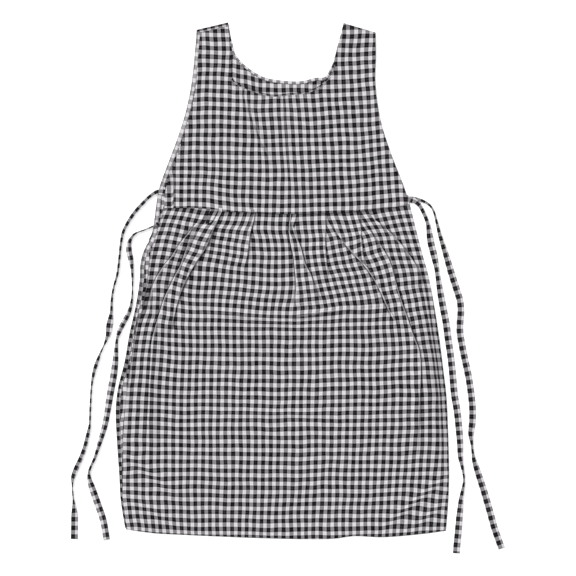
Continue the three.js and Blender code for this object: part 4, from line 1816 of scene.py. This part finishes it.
    def build(self, cloth: Material, stitching: Stitching) -> None:
        """Make the skirt in place of its plain solid.

        Args:
            cloth: The gingham.
            stitching: Sews the topstitches.
        """
        spots, flats, layers, wear_and_shading = self.lay()
        rows, columns = layers.shape

        def place(across: Array, along: Array) -> Laid:
            """Give the grid's points their laid places.

            Args:
                across: Shares of the columns, from the left.
                along: Shares of the rows, from the top.

            Returns:
                The laid points.
            """
            row = np.rint(along * (rows - 1)).astype(int)
            column = np.rint(across * (columns - 1)).astype(int)
            return Laid(*(part[row, column] for part in (spots, flats, layers, wear_and_shading)))

        skirt = lay_cloth("skirt_cloth", columns - 1, rows - 1, place, cloth)
        first = self.hidden_rows
        last = -1 - HEM_LINE
        left = spots[first:last + 1, HEM_LINE]
        hem = spots[last, HEM_LINE:last + 1]
        right = spots[first:last + 1, last]
        runs = [run + UP * stitching.lift for run in (left, hem, right)]
        stitches = stitching.sew("skirt_stitches", runs)
        dress(skirt)
        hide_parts("front_skirt")


# How the back's weft rows lie behind the neck: place, and how far the cloth there is further up
BACK_DIP = (
    (-90, -13), (-75, -9.4), (-60, -6.5), (-49, -3.2), (-37, -0.5), (-25, 0.2), (1, 1.1), (90, 1.1),
)


@dataclass
class BackPanel:
    """Back of the apron: one plain panel under the front, with a bias binding inside its neckline."""

    flat_size: tuple[float, float] = (566.0, 877.5)
    flat_area: float = 0.379
    shoulder: Edge = Edge(((-145.5, 426), (-119, 432.2), (-92.5, 438.5)))
    roll_half: float = 3.2
    roll_rise: float = 2.0
    bound: tuple[float, float] = (0.10, 0.76)  # shares of the neckline between which the binding shows
    roll_dark: float = 1.0  # middle of the dark band along the rolled shoulder, past its edge
    roll_flat: tuple[float, float] = (12.0, -4.0)  # how far in the roll's check ends, and the run of that
    hem_share: float = 0.5  # the back's hems have this share of the front's relief
    behind_neck: tuple[float, float] = (280.0, 40.0)  # height from which the check lies askew, and the run
    pull: float = 1.9  # how far the columns are pulled aside there
    pull_left: float = 38.0  # further to the left than this they are pulled twice as far, over a run as long
    low_push: float = 6.0  # how far the columns lie to the right low on the skirt
    low_push_from: tuple[float, float] = (-215.0, -30.0)  # height under which they do, and the run down
    stitch_spots: int = 900

    def __post_init__(self) -> None:
        """Work out the edges that follow the front's."""
        raised = BACK_INSET / 2.0
        hem = [BACK_LEFT.points[-1]]
        hem += [(x, y + raised) for x, y in HEM.points[1:-1]]
        corner = SKIRT_RIGHT.points[-1]
        hem.append((corner[0] - BACK_INSET, corner[1] + raised))
        right = [(x - BACK_INSET, y) for x, y in ARMHOLE_RIGHT.points + SKIRT_RIGHT.points[1:-1]]
        right.append(hem[-1])
        self.hem = Edge(tuple(hem))
        self.right = Edge(tuple(right))
        self.band = Band(BACK_NECKLINE, BACK_LEFT, self.hem, self.right,
                         side_cells=150, bottom_cells=110, inner_rows=50, neck_side=0.3)

    def level(self, x: Array, y: Array) -> tuple[Array, Array]:
        """Find how high the back lies. Its left shoulder rolls up to the front's seam.

        Args:
            x: X of the points.
            y: Y of the points.

        Returns:
            The height at each point, and how far the cloth is doubled there.
        """
        edges = [away(edge, x, y) for edge in (BACK_NECKLINE, BACK_LEFT, self.hem, self.right)]
        inset = np.min(edges, axis=0)
        roll = self.roll_rise * bell(away(self.shoulder, x, y), self.roll_half)
        return BACK_LEVEL + self.hem_share * hem_rise(inset) + roll, hem_layers(inset)

    def under(self, x: Array, y: Array) -> Array:
        """Height of the back alone."""
        return self.level(x, y)[0]

    def place(self, across: Array, along: Array) -> Laid:
        """Lay the grid's points. Behind the neck the rows dip and the columns are pulled aside.

        Args:
            across: Shares of the way from the left shoulder to the right.
            along: Shares of the rows from the neckline out.

        Returns:
            The laid points.
        """
        x, y = self.band.spots(across, along).T
        z, doubled = self.level(x, y)
        places, dip = np.array(BACK_DIP).T
        high = past(y, *self.behind_neck)
        pulled = high * self.pull * (1.0 + past(x, -self.pull_left, -self.pull_left))
        pulled -= self.low_push * past(y, *self.low_push_from)
        row = y + high * np.interp(x, places, dip)
        inset = away(self.shoulder, x, y)
        row += past(inset, *self.roll_flat) * (-inset - self.roll_dark - row)
        flat = np.column_stack((x - pulled, row)) + wander(x, y)
        return Laid(np.column_stack((x, y, z)), flat, doubled)

    def build(self, cloth: Material, stitching: Stitching) -> None:
        """Make the back in place of its plain solid.

        Args:
            cloth: The gingham.
            stitching: Sews the topstitches.
        """
        back = lay_cloth("back_cloth", self.band.columns, self.band.rows, self.place, cloth)
        across = np.linspace(0.0, 1.0, self.stitch_spots)
        run = self.place(across, np.full(len(across), 1.0 - HEM_LINE / self.band.rows)).spots
        neck = Binding("neck_binding", BACK_NECKLINE, self.bound, Facing.RIGHT, Grain.WEFT, 0.0, 4.4,
                       self.under, width=5.0, first_width=0.45)
        top = Binding("shoulder_binding", self.shoulder, (0.0, 1.0), Facing.RIGHT, Grain.WEFT, -1.0, 1.1,
                      self.under, width=6.6, rise=0.5, lift=0.45, bumps=0.15, columns=40)
        side = Binding("side_binding", BACK_LEFT, (0.0, 1.0), Facing.LEFT, Grain.WARP, -4.2, 1.9,
                       self.under, width=7.0, rise=0.35, lift=0.35, bumps=0.15, shade=0.5, drift=-3.7,
                       sway=2.5, pale=0.55, columns=420)
        added = []
        for strip in (neck, side, top):
            added += strip.build(cloth, stitching, "gingham_back")
        added.append(stitching.sew("back_stitches", [run + UP * stitching.lift]))
        dress(back)
        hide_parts("back_panel")


def main() -> None:
    """Build the stage and the apron, piece by piece."""
    logging.basicConfig(level=logging.INFO, format="%(name)s: %(message)s")
    StudioStage().build()
    gingham = GinghamCotton().build()
    stitching = Stitching(SewingThread().build())
    for tie in TIES:
        tie.build(gingham, stitching)
    for panel in (BackPanel(), FrontSkirt(), FrontBodice()):
        panel.build(gingham, stitching)


if __name__ == "__main__":
    main()
